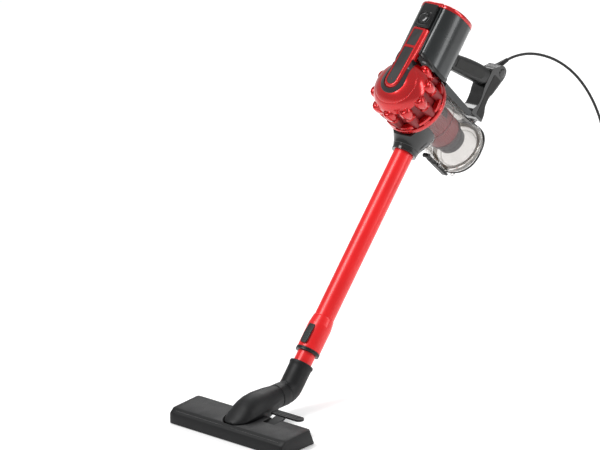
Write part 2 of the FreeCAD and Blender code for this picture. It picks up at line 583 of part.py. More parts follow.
def tangent_path(points):
    """Straight runs joined by tangent arcs, each as large as its two runs allow."""
    edges = []
    radii = []
    start = points[0]
    for before, corner, after in zip(points, points[1:], points[2:]):
        inward = (corner - before).normalize()
        onward = (after - corner).normalize()
        half_turn = inward.getAngle(onward) / 2
        reach = 0.45 * min((corner - before).Length, (after - corner).Length)
        radius = reach / math.tan(half_turn)
        radii.append(radius)
        first = corner - inward * reach
        last = corner + onward * reach
        middle = corner + (onward - inward).normalize() * (radius * (1 / math.cos(half_turn) - 1))
        edges.append(Part.LineSegment(start, first).toShape())
        edges.append(Part.Arc(first, middle, last).toShape())
        start = last
    edges.append(Part.LineSegment(start, points[-1]).toShape())
    return Part.Wire(edges), radii


def mains_cord():
    node("strain_relief", turned((0, 0), (6, 0), (6, 34), (5.2, 36), (3.2, RELIEF_TALL), (0, RELIEF_TALL)), RELIEF)
    tip = RELIEF.multVec(V(0, 0, RELIEF_TALL))
    points = [tip, *ROUTE]
    path, radii = tangent_path(points)
    radius = size("cord_round")
    ring = Part.Wire([Part.Circle(tip, points[1] - tip, radius).toShape()])
    tube = path.makePipeShell([ring], True, False)
    print("cord: tip", tip, "length", round(path.Length), "radii", [round(value) for value in radii],
          "volume ratio", round(tube.Volume / (math.pi * radius ** 2 * path.Length), 4))
    node("cord_lead", shaped(tube), PLACE())
    coil = PLACE(COIL, ROT())
    inner, outer = f"coil_round - {COIL_HALF}", f"coil_round + {COIL_HALF}"
    node("cord_coil", turned((inner, 0), (outer, 0), (outer, COIL_TALL), (inner, COIL_TALL)), coil)
    strap = block(8, f"2 * {COIL_HALF} + 2", COIL_TALL + 2, (0, f"coil_round - {COIL_HALF} - 1", -1))
    hollow = turned((inner, 0), (outer, 0), (outer, COIL_TALL), (inner, COIL_TALL))
    node("cord_tie", cut(strap, hollow), coil.multiply(PLACE(V(), ROT(V(0, 0, 1), 70))))

    foot = COIL + V(36.6, -22.3, 13)
    plug = PLACE(foot, ROT(V(0, 0, 1), PLUG_WAY))
    body = Part.makeLoft([oval(V(0, 0, 18), 6, 5, "z"), oval(V(0, 0, 26), 15, 11, "z"),
                          oval(V(0, 0, 50), 18, 13, "z")], True)
    tail = Part.makeCone(3.2, 5.4, 20)
    node("plug_body", shaped(body.fuse(tail)), plug)
    pins = [cylinder(2.4, 19, (side * 9.5, 0, 50)) for side in SIDES]
    node("plug_pins", group(*pins), plug)


housing_shell()
housing_top()
front_strip()
cyclone()
dust_cup()
neck_duct()
handle()
motor()
wand()
neck_hood(elbow())
floor_head()
pedal_and_bristles()
mains_cord()
doc.recompute()

for item in doc.Objects:
    if "Invalid" in item.State or "Error" in item.State:
        raise RuntimeError(f"{item.Name} ({item.Label}) failed: {item.State}")
for item in NODES:
    if item.Shape.isNull() or not item.Shape.isValid() or not item.Shape.Solids:
        raise RuntimeError(f"{item.Label} has no valid solid")
os.makedirs("parts", exist_ok=True)
for item in NODES:
    item.Shape.exportStep(f"parts/{item.Label}.step")
print(len(NODES), "sub-parts; sole at", SOLE_POINT, "neck at", NECK_POINT)
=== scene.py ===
import json
import math

import bmesh
import bpy
from mathutils import Matrix, Vector

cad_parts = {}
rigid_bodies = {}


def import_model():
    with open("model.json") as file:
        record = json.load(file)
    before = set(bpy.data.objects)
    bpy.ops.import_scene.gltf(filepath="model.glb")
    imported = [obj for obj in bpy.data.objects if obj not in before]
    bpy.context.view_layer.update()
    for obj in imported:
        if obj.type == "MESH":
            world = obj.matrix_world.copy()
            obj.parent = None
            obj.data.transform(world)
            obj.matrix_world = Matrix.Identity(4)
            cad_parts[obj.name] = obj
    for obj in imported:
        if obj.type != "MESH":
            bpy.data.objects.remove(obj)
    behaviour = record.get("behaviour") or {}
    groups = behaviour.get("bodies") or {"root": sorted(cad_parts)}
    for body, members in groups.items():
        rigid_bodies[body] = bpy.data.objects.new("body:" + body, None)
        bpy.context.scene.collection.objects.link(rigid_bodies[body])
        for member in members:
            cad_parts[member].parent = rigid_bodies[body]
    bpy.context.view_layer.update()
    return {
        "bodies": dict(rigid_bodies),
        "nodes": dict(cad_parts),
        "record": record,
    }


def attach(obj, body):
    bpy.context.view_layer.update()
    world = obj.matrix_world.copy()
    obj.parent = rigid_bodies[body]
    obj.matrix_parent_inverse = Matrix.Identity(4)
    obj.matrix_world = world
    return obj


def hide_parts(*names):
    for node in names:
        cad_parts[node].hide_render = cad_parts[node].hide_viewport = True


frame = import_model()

# ---- places, from the frame ---------------------------------------------------------------------
MM = 0.001
SIDES = (-1, 1)
MOUNTS = {mount["name"]: Vector(mount["pos_m"]) for mount in frame["record"]["mounts"]}
JOINTS = {joint["name"]: joint for joint in frame["record"]["behaviour"]["joints"]}
UP_WAND = -Vector(JOINTS["wand_pull"]["axis"])
LEAN = math.atan2(UP_WAND.y, UP_WAND.z)
GRIP_UP, GRIP_BACK = 188, 46
CYCLONE_UP = 83
BEND_DOWN, BEND_BACK, NECK_AXIS = 462, 121, 40
BEND_ROUND = 28
SOCKET_DOWN = 410


def placed(origin, turn):
    """A matrix from millimetres in a local frame to metres in the row's frame."""
    return Matrix.Translation(origin) @ turn @ Matrix.Scale(MM, 4)


def turned_at(base, place, axis="Y", angle=math.pi / 2):
    """A frame moved to a place in `base`, then turned about one of its own axes."""
    return base @ Matrix.Translation(place) @ Matrix.Rotation(angle, 4, axis)


TILT = Matrix.Rotation(-LEAN, 4, "X")
NECK = -(TILT @ Vector((0, GRIP_BACK, GRIP_UP))) * MM
SOLE = Vector((0, MOUNTS["sole"].y, MOUNTS["sole"].z))
FLOOR = SOLE.z
HAND = placed(NECK, TILT)
CYCLONE = turned_at(HAND, (0, 0, CYCLONE_UP), "X", -math.pi / 2)
HEAD = placed(SOLE, Matrix())

# ---- camera: the photograph's long lens ---------------------------------------------------------
AZIMUTH, ELEVATION = math.radians(40.1), math.radians(18.1)
DISTANCE = 6.0
FRAME_WIDTH = 1.0169          # metres across the picture at the object
AIM_RIGHT, AIM_UP = 0.0971, 0.3463
BACK = Vector((math.sin(AZIMUTH) * math.cos(ELEVATION), -math.cos(AZIMUTH) * math.cos(ELEVATION),
               math.sin(ELEVATION)))
RIGHT = Vector((math.cos(AZIMUTH), math.sin(AZIMUTH), 0))
UP = BACK.cross(RIGHT)
MIDDLE_DEPTH = -0.12


def camera():
    data = bpy.data.cameras.new("camera")
    data.sensor_width = 36
    data.lens = data.sensor_width * DISTANCE / FRAME_WIDTH
    data.clip_end = 100
    item = bpy.data.objects.new("camera", data)
    item.location = SOLE + RIGHT * AIM_RIGHT + UP * AIM_UP + BACK * (DISTANCE + MIDDLE_DEPTH)
    item.rotation_euler = Matrix((RIGHT, UP, BACK)).transposed().to_euler()
    bpy.context.collection.objects.link(item)
    bpy.context.scene.camera = item


# ---- materials -----------------------------------------------------------------------------------
def linear(red, green, blue):
    """A colour given in screen values from 0 to 255."""
    return [((value / 255 + 0.055) / 1.055) ** 2.4 if value > 10 else value / 255 / 12.92
            for value in (red, green, blue)]


MATERIALS = {}


def material(name, colour, rough, metal=0.0, coat=0.0, coat_rough=0.05, grain=1400, bump=0.08, vary=0.12,
             clear=0.0, rough_vary=0.08, specular=0.5, stretch=(1, 1, 1), sheen=0.0):
    """File a finish under its name: fine grain in bump, wider patches in colour and roughness."""
    made = bpy.data.materials.new(name)
    made.use_nodes = True
    nodes, links = made.node_tree.nodes, made.node_tree.links
    shader = nodes["Principled BSDF"]
    shader.inputs["Metallic"].default_value = metal
    shader.inputs["Coat Weight"].default_value = coat
    shader.inputs["Coat Roughness"].default_value = coat_rough
    shader.inputs["Transmission Weight"].default_value = clear
    shader.inputs["Specular IOR Level"].default_value = specular
    shader.inputs["Sheen Weight"].default_value = sheen
    place = nodes.new("ShaderNodeTexCoord")
    mapping = nodes.new("ShaderNodeMapping")
    mapping.inputs["Scale"].default_value = stretch
    links.new(place.outputs["Object"], mapping.inputs["Vector"])

    def noise(scale, detail):
        item = nodes.new("ShaderNodeTexNoise")
        item.inputs["Scale"].default_value = scale
        item.inputs["Detail"].default_value = detail
        links.new(mapping.outputs["Vector"], item.inputs["Vector"])
        return item

    patches = noise(18, 3)
    ramp = nodes.new("ShaderNodeValToRGB")
    base = linear(*colour)
    ramp.color_ramp.elements[0].position = 0.3
    ramp.color_ramp.elements[0].color = [value * (1 - vary) for value in base] + [1]
    ramp.color_ramp.elements[1].position = 0.7
    ramp.color_ramp.elements[1].color = [min(1, value * (1 + vary)) for value in base] + [1]
    links.new(patches.outputs["Fac"], ramp.inputs["Fac"])
    links.new(ramp.outputs["Color"], shader.inputs["Base Color"])
    wear = noise(60, 5)
    spread = nodes.new("ShaderNodeMapRange")
    spread.inputs["To Min"].default_value = max(0.02, rough - rough_vary)
    spread.inputs["To Max"].default_value = min(1, rough + rough_vary)
    links.new(wear.outputs["Fac"], spread.inputs["Value"])
    links.new(spread.outputs["Result"], shader.inputs["Roughness"])
    fine = noise(grain, 2)
    relief = nodes.new("ShaderNodeBump")
    relief.inputs["Strength"].default_value = bump
    relief.inputs["Distance"].default_value = 0.0002
    links.new(fine.outputs["Fac"], relief.inputs["Height"])
    links.new(relief.outputs["Normal"], shader.inputs["Normal"])
    MATERIALS[name] = made


material("graphite", (40, 43, 44), 0.3, metal=0.4, coat=0.4, coat_rough=0.14, grain=2600, bump=0.2, vary=0.22)
material("red_metal", (200, 8, 14), 0.27, metal=0.6, coat=0.9, coat_rough=0.04, grain=3800, bump=0.05,
         vary=0.1, rough_vary=0.05)
material("red_gloss", (236, 10, 16), 0.36, metal=0.1, coat=0.3, coat_rough=0.2, grain=2400, bump=0.05,
         vary=0.06)
material("black_plastic", (13, 14, 14), 0.42, grain=2200, bump=0.22)
material("black_gloss", (14, 15, 15), 0.2, coat=0.5, coat_rough=0.08, grain=1800, bump=0.05)
material("grey_soft", (34, 34, 33), 0.6, specular=0.4, grain=3200, bump=0.4, vary=0.1)
material("silver_trim", (66, 62, 64), 0.2, metal=0.75, coat=0.6, coat_rough=0.06, grain=2600, bump=0.04)
material("clear_cup", (226, 224, 222), 0.05, clear=1.0, grain=300, bump=0.02, vary=0.0, rough_vary=0.03)
material("red_clear", (196, 40, 52), 0.3, clear=0.12, grain=900, bump=0.1)
material("filter_white", (214, 204, 188), 0.85, grain=2600, bump=0.6, vary=0.06)
material("head_black", (9, 10, 12), 0.5, specular=0.35, grain=2800, bump=0.3, vary=0.1)
material("steel", (176, 176, 180), 0.28, metal=1.0, grain=2600, bump=0.06, stretch=(1, 1, 12))
material("rubber_black", (16, 16, 17), 0.55, grain=2600, bump=0.35)
material("bristle_black", (20, 20, 20), 0.6, grain=900, bump=0.9, stretch=(6, 6, 0.4))
material("lint_red", (150, 22, 26), 0.8, grain=1500, bump=0.9, sheen=0.5, stretch=(5, 1, 1))
material("violet_grey", (54, 42, 54), 0.45, grain=2200, bump=0.15, vary=0.18)
material("inlay", (30, 29, 29), 0.4, coat=0.3, coat_rough=0.25, grain=2600, bump=0.1, vary=0.15)
# a shaded copy of the cone red: painted shade for the recessed wall and the cones' lower bodies under the
# heads
material("red_painted_shade", (128, 18, 24), 0.5, grain=2200, bump=0.15, vary=0.18)
material("red_deep", (84, 14, 22), 0.45, grain=2200, bump=0.15, vary=0.18)
SLOT_OF = {part["node"]: part["material_slot"] for part in frame["record"]["subparts"]}


def dress(item, slot):
    """Give a piece or a CAD node one finish."""
    item.data.materials.clear()
    item.data.materials.append(MATERIALS[slot])


# ---- mesh building -------------------------------------------------------------------------------
def mesh_object(name, verts, faces, matrix):
    """A clean mesh in metres, from points in a local frame in millimetres."""
    mesh = bpy.data.meshes.new(name)
    mesh.from_pydata([matrix @ Vector(point) for point in verts], [], faces)
    item = bpy.data.objects.new(name, mesh)
    bpy.context.collection.objects.link(item)
    shape = bmesh.new()
    shape.from_mesh(mesh)
    bmesh.ops.remove_doubles(shape, verts=shape.verts, dist=1e-6)
    bmesh.ops.recalc_face_normals(shape, faces=shape.faces)
    shape.to_mesh(mesh)
    shape.free()
    return item


def piece(name, verts, faces, matrix, slot, body, smooth=40):
    """A mesh piece that rides on a body."""
    item = mesh_object(name, verts, faces, matrix)
    item.data.shade_smooth()
    item.data.set_sharp_from_angle(angle=math.radians(smooth))
    dress(item, slot)
    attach(item, body)
    return item


def soften(points, radius=1.0, steps=4, closed=True):
    """A polyline whose corners are rounded.  A point may carry its own radius as a third number."""
    out = []
    count = len(points)
    for k, point in enumerate(points):
        here = Vector(point[:2])
        size = point[2] if len(point) > 2 else radius
        if (not closed and k in (0, count - 1)) or size <= 0:
            out.append(tuple(here))
            continue
        before = Vector(points[k - 1][:2]) - here
        after = Vector(points[(k + 1) % count][:2]) - here
        reach = min(size, before.length * 0.49, after.length * 0.49)
        first = here + before.normalized() * reach
        last = here + after.normalized() * reach
        for step in range(steps + 1):
            way = step / steps
            out.append(tuple(first * (1 - way) ** 2 + here * 2 * way * (1 - way) + last * way ** 2))
    return out


def skin(rings, closed_path=False):
    """Vertices and faces of a surface through equal rings of points."""
    verts = [point for ring in rings for point in ring]
    wide = len(rings[0])
    faces = []
    spans = len(rings) if closed_path else len(rings) - 1
    for row in range(spans):
        low, high = row * wide, (row + 1) % len(rings) * wide
        for k in range(wide):
            after = (k + 1) % wide
            faces.append((low + k, low + after, high + after, high + k))
    if not closed_path:
        faces.append(tuple(range(wide)))
        faces.append(tuple((len(rings) - 1) * wide + k for k in range(wide)))
    return verts, faces


def spoke(profile, angle):
    """A (radius, height) profile stood up at an angle about Z."""
    return [(radius * math.cos(angle), radius * math.sin(angle), height) for radius, height in profile]


def lathe(profile, steps=96):
    """A turned solid about Z from (radius, height) points."""
    return skin([spoke(profile, 2 * math.pi * k / steps) for k in range(steps)], closed_path=True)


def plate(name, outline, low, high, matrix, slot, body, edge=0.8, axis="x"):
    """A flat piece: an outline across `axis`, from `low` to `high` along it, with rounded edges."""
    smooth = 35

    def at(first, second, along):
        return {"x": (along, first, second), "y": (first, along, second), "z": (first, second, along)}[axis]

    count = len(outline)
    verts = [at(*point, low) for point in outline] + [at(*point, high) for point in outline]
    faces = [tuple(range(count)), tuple(range(count, 2 * count))]
    faces += [(k, (k + 1) % count, (k + 1) % count + count, k + count) for k in range(count)]
    item = piece(name, verts, faces, matrix, slot, body, smooth)
    if edge:
        shape = bmesh.new()
        shape.from_mesh(item.data)
        rims = [rim for rim in shape.edges if any(len(face.verts) > 4 for face in rim.link_faces)]
        bmesh.ops.bevel(shape, geom=rims, offset=edge * MM, segments=3, affect="EDGES", clamp_overlap=True)
        shape.to_mesh(item.data)
        shape.free()
        item.data.shade_smooth()
        item.data.set_sharp_from_angle(angle=math.radians(smooth))
    return item


def squircle(wide, tall, power, steps=72):
    """Points of a superellipse, from round (2) towards square (higher)."""
    out = []
    for k in range(steps):
        angle = 2 * math.pi * k / steps
        cos, sin = math.cos(angle), math.sin(angle)
        out.append((wide * math.copysign(abs(cos) ** (2 / power), cos),
                    tall * math.copysign(abs(sin) ** (2 / power), sin)))
    return out


def smooth_rows(rows, steps):
    """Catmull-Rom rows between the given rows of numbers."""
    out = []
    last = len(rows) - 1
    for k in range(last):
        p0, p1, p2, p3 = rows[max(k - 1, 0)], rows[k], rows[k + 1], rows[min(k + 2, last)]
        for step in range(steps):
            t = step / steps
            out.append([0.5 * (2 * b + (c - a) * t + (2 * a - 5 * b + 4 * c - d) * t * t
                               + (3 * b - a - 3 * c + d) * t ** 3) for a, b, c, d in zip(p0, p1, p2, p3)])
    out.append(list(rows[-1]))
    return out


def carve(item, *tools):
    """Cut throw-away solids out of a piece."""
    for tool in tools:
        change = item.modifiers.new("carve", "BOOLEAN")
        change.operation = "DIFFERENCE"
        change.solver = "EXACT"
        change.object = tool
        done = bpy.data.meshes.new_from_object(item.evaluated_get(bpy.context.evaluated_depsgraph_get()))
        item.modifiers.clear()
        old = item.data
        item.data = done
        bpy.data.meshes.remove(old)
        bpy.data.objects.remove(tool)
    item.data.shade_smooth()
    item.data.set_sharp_from_angle(angle=math.radians(35))


def tool(verts, faces, matrix):
    """A throw-away solid for carve."""
    return mesh_object("tool", verts, faces, matrix)


# ---- mains cord ----------------------------------------------------------------------------------
CORD_ROUND = 0.0025
RELIEF_LEAN = math.radians(37.1)
RELIEF_TALL = 64
RELIEF = HAND @ Matrix.Translation((0, 112, 222)) @ Matrix.Rotation(-RELIEF_LEAN, 4, "X")
FLOOR_CORD = -0.4946
ROUTE = [
    (0.001, 0.154, -0.002), (0.012, 0.192, -0.003), (0.034, 0.226, -0.016), (0.058, 0.253, -0.042),
    (0.080, 0.271, -0.079), (0.097, 0.283, -0.124), (0.108, 0.289, -0.175), (0.115, 0.293, -0.230),
    (0.119, 0.293, -0.287), (0.120, 0.295, -0.343), (0.123, 0.293, -0.395), (0.130, 0.294, -0.440),
    (0.145, 0.290, -0.474), (0.168, 0.288, -0.491), (0.195, 0.283, FLOOR_CORD), (0.2223, 0.2765, FLOOR_CORD)]
COIL = Vector((0.245, 0.240, FLOOR + 0.0012))
COIL_ROUND = 0.030
COIL_ACROSS, COIL_TURNS = 5, 23


def coil_points():
    """The coil's turns, laid beside and on each other, from the floor layer up."""
    points = []
    per_turn = 14
    pitch = 2 * CORD_ROUND
    start = math.atan2(ROUTE[-1][1] - COIL.y, ROUTE[-1][0] - COIL.x) - 0.35
    for turn in range(COIL_TURNS):
        layer, lane = divmod(turn, COIL_ACROSS)
        if layer % 2:
            lane = COIL_ACROSS - 1 - lane
        radius = COIL_ROUND + (2 - lane) * pitch
        for k in range(per_turn):
            angle = start - 2 * math.pi * k / per_turn
            height = CORD_ROUND + layer * pitch * 0.98
            across, along = radius * math.cos(angle), radius * math.sin(angle)
            points.append((COIL.x + across, COIL.y + along, COIL.z + height))
    return points


def mains_cord():
    tip = RELIEF @ Vector((0, 0, RELIEF_TALL))
    points = [tuple(tip), *ROUTE, *coil_points()]
    data = bpy.data.curves.new("mains_cord", "CURVE")
    data.dimensions = "3D"
    data.bevel_depth = CORD_ROUND
    data.bevel_resolution = 5
    data.resolution_u = 6
    spline = data.splines.new("NURBS")
    spline.points.add(len(points) - 1)
    for k, point in enumerate(points):
        spline.points[k].co = (*point, 1)
    spline.order_u = 3
    spline.use_endpoint_u = True
    item = bpy.data.objects.new("mains_cord", data)
    bpy.context.collection.objects.link(item)
    dress(item, "rubber_black")
    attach(item, "hand_unit")
    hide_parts("cord_lead", "cord_coil")
    return item, tuple(tip)


camera()
cord, cord_exit = mains_cord()
for node_name, node_item in frame["nodes"].items():
    dress(node_item, SLOT_OF[node_name])


# ---- shared shapes -------------------------------------------------------------------------------
BODY_OF = {name: next(body for body, holder in frame["bodies"].items() if holder == item.parent)
           for name, item in frame["nodes"].items()}
DONE = set()


def made(item, node, look=None):
    """A piece takes its node's body and finish, and the node's first piece stands for the node."""
    if look:
        item.data.materials[0] = MATERIALS[look]
    if node not in DONE:
        DONE.add(node)
        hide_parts(node)
    return item


def solid(node, name, shape, matrix, look=None, smooth=40):
    verts, faces = shape
    return made(piece(name, verts, faces, matrix, SLOT_OF[node], BODY_OF[node], smooth=smooth), node, look)


def disc(node, name, profile, matrix, look=None, radius=0.6, steps=96, smooth=40):
    """A turned piece from (radius, height) corners."""
    return solid(node, name, lathe(soften(profile, radius), steps), matrix, look, smooth)


def flat(node, name, outline, low, high, matrix, look=None, edge=0.8, axis="x"):
    return made(plate(name, outline, low, high, matrix, SLOT_OF[node], BODY_OF[node], edge=edge, axis=axis),
                node, look)


def arc_bar(profile, start, end, steps=14):
    """Part of a ring: a (radius, height) outline swept between two angles in degrees."""
    angles = [math.radians(start + (end - start) * k / steps) for k in range(steps + 1)]
    return skin([spoke(profile, angle) for angle in angles])


def bar(radius, low, high):
    """A plain round bar between two heights."""
    return lathe(soften([(0, low), (radius, low), (radius, high), (0, high)], 0.4), 32)


def box_shape(low, high):
    """A plain box between two corners."""
    points = [(x, y, z) for z in (low[2], high[2]) for x, y in
              ((low[0], low[1]), (high[0], low[1]), (high[0], high[1]), (low[0], high[1]))]
    return points, [(0, 1, 2, 3), (4, 5, 6, 7), (0, 1, 5, 4), (1, 2, 6, 5), (2, 3, 7, 6), (3, 0, 4, 7)]


def stadium(half, low, high, bend=28, corner=2.5):
    """A tall outline with a round lower end whose middle is at `low`, and softened top corners."""
    points = []
    for k in range(9):
        points.append((half, high - corner - (high - corner - low) * k / 8))
    for k in range(1, bend):
        angle = -math.pi * k / bend
        points.append((half * math.cos(angle), low + half * math.sin(angle)))
    for k in range(9):
        points.append((-half, low + (high - corner - low) * k / 8))
    reach = min(corner, half)
    for k in range(1, 6):
        angle = math.pi - math.pi / 2 * k / 5
        points.append((-half + reach + reach * math.cos(angle), high - corner + corner * math.sin(angle)))
    for k in range(0, 5):
        angle = math.pi / 2 - math.pi / 2 * k / 5
        points.append((half - reach + reach * math.cos(angle), high - corner + corner * math.sin(angle)))
    return points


def loft(rows, steps=8, count=72):
    """A smooth hull through (height, middle, half wide, half deep, power) rows."""
    rings = []
    for height, middle, wide, deep, power in smooth_rows(rows, steps):
        rings.append([(x, middle + y, height) for x, y in squircle(wide, deep, power, count)])
    return skin(rings)


# ---- casing --------------------------------------------------------------------------------------
CASE_MIDDLE = -58
CASE_FRONT, CASE_REAR, CASE_HALF, CASE_CORNER = -104, -12, 44, 40
CASE_TOP, BAND_TALL = 237, 8
RING_SPACE = 62.5
STRIP_HALF = 16


def case_section(grow=0.0):
    """The casing's outline: a nearly round section with a flatter front, a crease and a groove each side."""
    half = [(0, CASE_FRONT + 1.4), (STRIP_HALF + 0.4, CASE_FRONT + 1.6), (STRIP_HALF + 1.2, CASE_FRONT + 4.4),
            (STRIP_HALF + 3.4, CASE_FRONT + 4.0), (25.2, CASE_FRONT + 6.1), (27.0, CASE_FRONT + 7.3)]
    arc = CASE_CORNER
    for k in range(1, 22):
        angle = math.radians(54 * (1 - k / 21))
        half.append((CASE_HALF - arc + arc * math.cos(angle), CASE_FRONT + arc - arc * math.sin(angle)))
    for k in range(1, 26):
        angle = math.radians(90 * k / 25)
        half.append((CASE_HALF - arc + arc * math.cos(angle), CASE_REAR - arc + arc * math.sin(angle)))
    points = half + [(-x, y) for x, y in reversed(half) if x > 0.01]
    out = []
    for x, y in points:
        away = Vector((x, y - CASE_MIDDLE))
        away = away * (1 + grow / away.length)
        out.append((away.x, away.y + CASE_MIDDLE))
    return out


def case_rings(*levels):
    """Rings of the casing's section at (growth, height) levels."""
    return [[(x, y, height) for x, y in case_section(grow)] for grow, height in levels]


def ring_tool(radius, rear):
    """The round space of the cyclone's ring, back to `rear`, as a throw-away solid."""
    return tool(*lathe([(0, -140), (radius, -140), (radius, rear), (0, rear)], 128), CYCLONE)


def housing():
    shell = skin(case_rings((0, 116), (0, CASE_TOP - 0.5), (-0.5, CASE_TOP), (-2.4, CASE_TOP), (-2.4, 116)),
                 closed_path=True)
    item = solid("housing_shell", "housing_shell", shell, HAND, smooth=24)
    carve(item, ring_tool(RING_SPACE, 60))

    def saddle(grow, rise):
        return [(x, y, CYCLONE_UP + math.sqrt(RING_SPACE ** 2 - x ** 2) + rise)
                for x, y in case_section(grow)]

    lip = skin([saddle(-2.6, 0.3), saddle(0.5, 0.1), saddle(1.2, 1.2), saddle(1.2, 5.4), saddle(0.1, 7.4),
                saddle(-2.6, 6)], closed_path=True)
    solid("housing_shell", "housing_saddle", lip, HAND, look="black_plastic", smooth=50)
    band = skin(case_rings((-2.4, CASE_TOP), (0.2, CASE_TOP), (0.7, CASE_TOP + 0.8),
                           (0.7, CASE_TOP + BAND_TALL - 2.6),
                           (-0.2, CASE_TOP + BAND_TALL - 0.8), (-2, CASE_TOP + BAND_TALL),
                           (-4, CASE_TOP + BAND_TALL - 0.3), (-4, CASE_TOP)), closed_path=True)
    solid("housing_band", "housing_band", band, HAND, smooth=50)


def grille():
    base = skin(case_rings((-4.2, CASE_TOP + 1), (-4.2, CASE_TOP + 2.6), (-60, CASE_TOP + 2.6)))
    solid("exhaust_grille", "grille_floor", base, HAND)
    for k in range(-5, 6):
        back = CASE_MIDDLE + 7 * k + 3.5
        if abs(back - CASE_MIDDLE) > 38:
            continue
        reach = math.sqrt(39.5 ** 2 - (back - CASE_MIDDLE) ** 2)
        rib = box_shape((-reach, back - 1.2, CASE_TOP + 2), (reach, back + 1.2, CASE_TOP + 4))
        solid("exhaust_grille", f"grille_rib_{k + 5}", rib, HAND)


# ---- front strip ---------------------------------------------------------------------------------
TONGUE_FRONT, PANEL_FRONT = -119, -111
TONGUE_TOP = 190
BUTTON_UP, BUTTON_ROUND = 207, 8.5
INLAY_HALF = 9.5


def tongue_face(up):
    """How far ahead the tongue's face is at a height."""
    share = max(0.0, (up - CYCLONE_UP) / (TONGUE_TOP - CYCLONE_UP))
    return TONGUE_FRONT + (PANEL_FRONT - TONGUE_FRONT) * share


def tongue():
    def level(half, drop, top):
        return [(x, tongue_face(up) + drop, up) for x, up in stadium(half, CYCLONE_UP, top)]

    back = [(x, -100, up) for x, up in stadium(STRIP_HALF, CYCLONE_UP, TONGUE_TOP)]
    rings = [back, level(16.0, 5.2, TONGUE_TOP), level(15.6, 4.2, TONGUE_TOP - 0.2),
             level(12.9, 0.7, TONGUE_TOP - 1),
             level(12.0, 0.1, TONGUE_TOP - 1.6), level(11.2, 0.0, TONGUE_TOP - 2),
             level(0.05, 0.0, TONGUE_TOP - 13)]
    item = solid("tongue_frame", "tongue_frame", skin(rings), HAND, smooth=30)
    for outline in inlay_outlines(0.25):
        carve(item, tool(*inlay_shape(outline, -0.6, 1.1), HAND))


def inlay_outlines(grow=0.0):
    half = INLAY_HALF + grow
    lower = stadium(half, CYCLONE_UP, 148 + grow, corner=1.6)
    upper = soften([(half, 153 - grow), (half, 185 + grow), (-half, 185 + grow), (-half, 153 - grow)], 2, 5)
    return lower, upper


def inlay_shape(outline, out, into):
    """A thin plate that follows the tongue's face."""
    def level(drop, shrink):
        middle = sum(up for _, up in outline) / len(outline)
        tall = max(up for _, up in outline) - middle
        return [(x * (1 - shrink / INLAY_HALF), tongue_face(up) + drop,
                 middle + (up - middle) * (1 - shrink / tall))
                for x, up in outline]

    return skin([level(into, 0), level(out + 0.3, 0), level(out, 0.35)])


def inlays():
    for name, outline in zip(("lower", "upper"), inlay_outlines()):
        solid("tongue_inlays", f"tongue_inlay_{name}", inlay_shape(outline, 0.15, 2.0), HAND, look="inlay",
              smooth=30)


def control_panel():
    outline = soften([(-15, TONGUE_TOP + 0.6), (15, TONGUE_TOP + 0.6), (15, CASE_TOP - 0.6),
                      (-15, CASE_TOP - 0.6)], 2.4, 6)
    flat("control_panel", "control_panel", outline, PANEL_FRONT, CASE_FRONT + 3, HAND, edge=1.0, axis="y")


def squircle_ring(wide, tall, power, front, back, hole):
    """A raised frame of squircle outline with a round hole."""
    def loop(half_wide, half_tall, strong, depth):
        return [(x, depth, BUTTON_UP + y) for x, y in squircle(half_wide, half_tall, strong)]

    return skin([loop(wide, tall, power, back), loop(wide, tall, power, front + 0.8),
                 loop(wide - 0.8, tall - 0.8, power, front), loop(hole + 0.8, hole + 0.8, 2, front),
                 loop(hole, hole, 2, front + 0.8), loop(hole, hole, 2, back)], closed_path=True)


def button():
    bezel = squircle_ring(13.1, 13.1, 4, PANEL_FRONT - 1.0, PANEL_FRONT + 1.9, 10.6)
    solid("button_bezel", "button_bezel", bezel, HAND)
    ring = lathe(soften([(8.9, -0.4), (10.4, -0.4), (10.4, 1.5), (8.9, 1.5)], 0.5), 64)
    facing = turned_at(HAND, (0, PANEL_FRONT, BUTTON_UP), "X")
    solid("button_bezel", "button_ring", ring, facing, look="graphite")
    for k in range(4):
        middle = 45 + 90 * k
        corner = arc_bar([(12.1, 0.4), (13.3, 0.4), (13.3, 1.7), (12.1, 1.7)], middle - 13, middle + 13, 8)
        solid("button_bezel", f"button_corner_{k}", corner, facing, look="silver_trim")
    cap = [(0, 4.2), (5.2, 4.0), (7.6, 3.4), (BUTTON_ROUND, 2.2), (BUTTON_ROUND, 0.2), (3, 0), (3, -6.4),
           (0, -6.4)]
    disc("power_button", "power_button", cap, facing, radius=0.5, steps=64)
    mark = lathe(soften([(3.0, 4.02), (3.9, 4.02), (3.9, 4.35), (3.0, 4.35)], 0.1), 48)
    solid("power_button", "button_mark", mark, facing, look="graphite")


# ---- cyclone -------------------------------------------------------------------------------------
LOBES = 10
DOME_PROFILE = [(0, -115.2), (12, -115.0), (20, -114.0), (27, -112.0), (33, -108.9), (38, -105.2),
                (39.6, -103.4), (40.6, -102.9), (44.5, -99.2), (48.2, -93.8), (50.4, -88.2), (50.9, -85.6)]


def dome_front(radius):
    """The dome's height at a distance from its axis."""
    for (r0, z0), (r1, z1) in zip(DOME_PROFILE, DOME_PROFILE[1:]):
        if radius <= r1:
            return z0 + (z1 - z0) * (radius - r0) / (r1 - r0)
    return DOME_PROFILE[-1][1]


def dome():
    inner = [(max(0.0, radius - 2.6), height + 2.4) for radius, height in reversed(DOME_PROFILE)]
    profile = [tuple(row) for row in smooth_rows(DOME_PROFILE, 4)] + [(50.0, -84.6), (47.6, -84.6)] + inner
    solid("cyclone_dome", "cyclone_dome", lathe(profile, 144), CYCLONE, smooth=32)


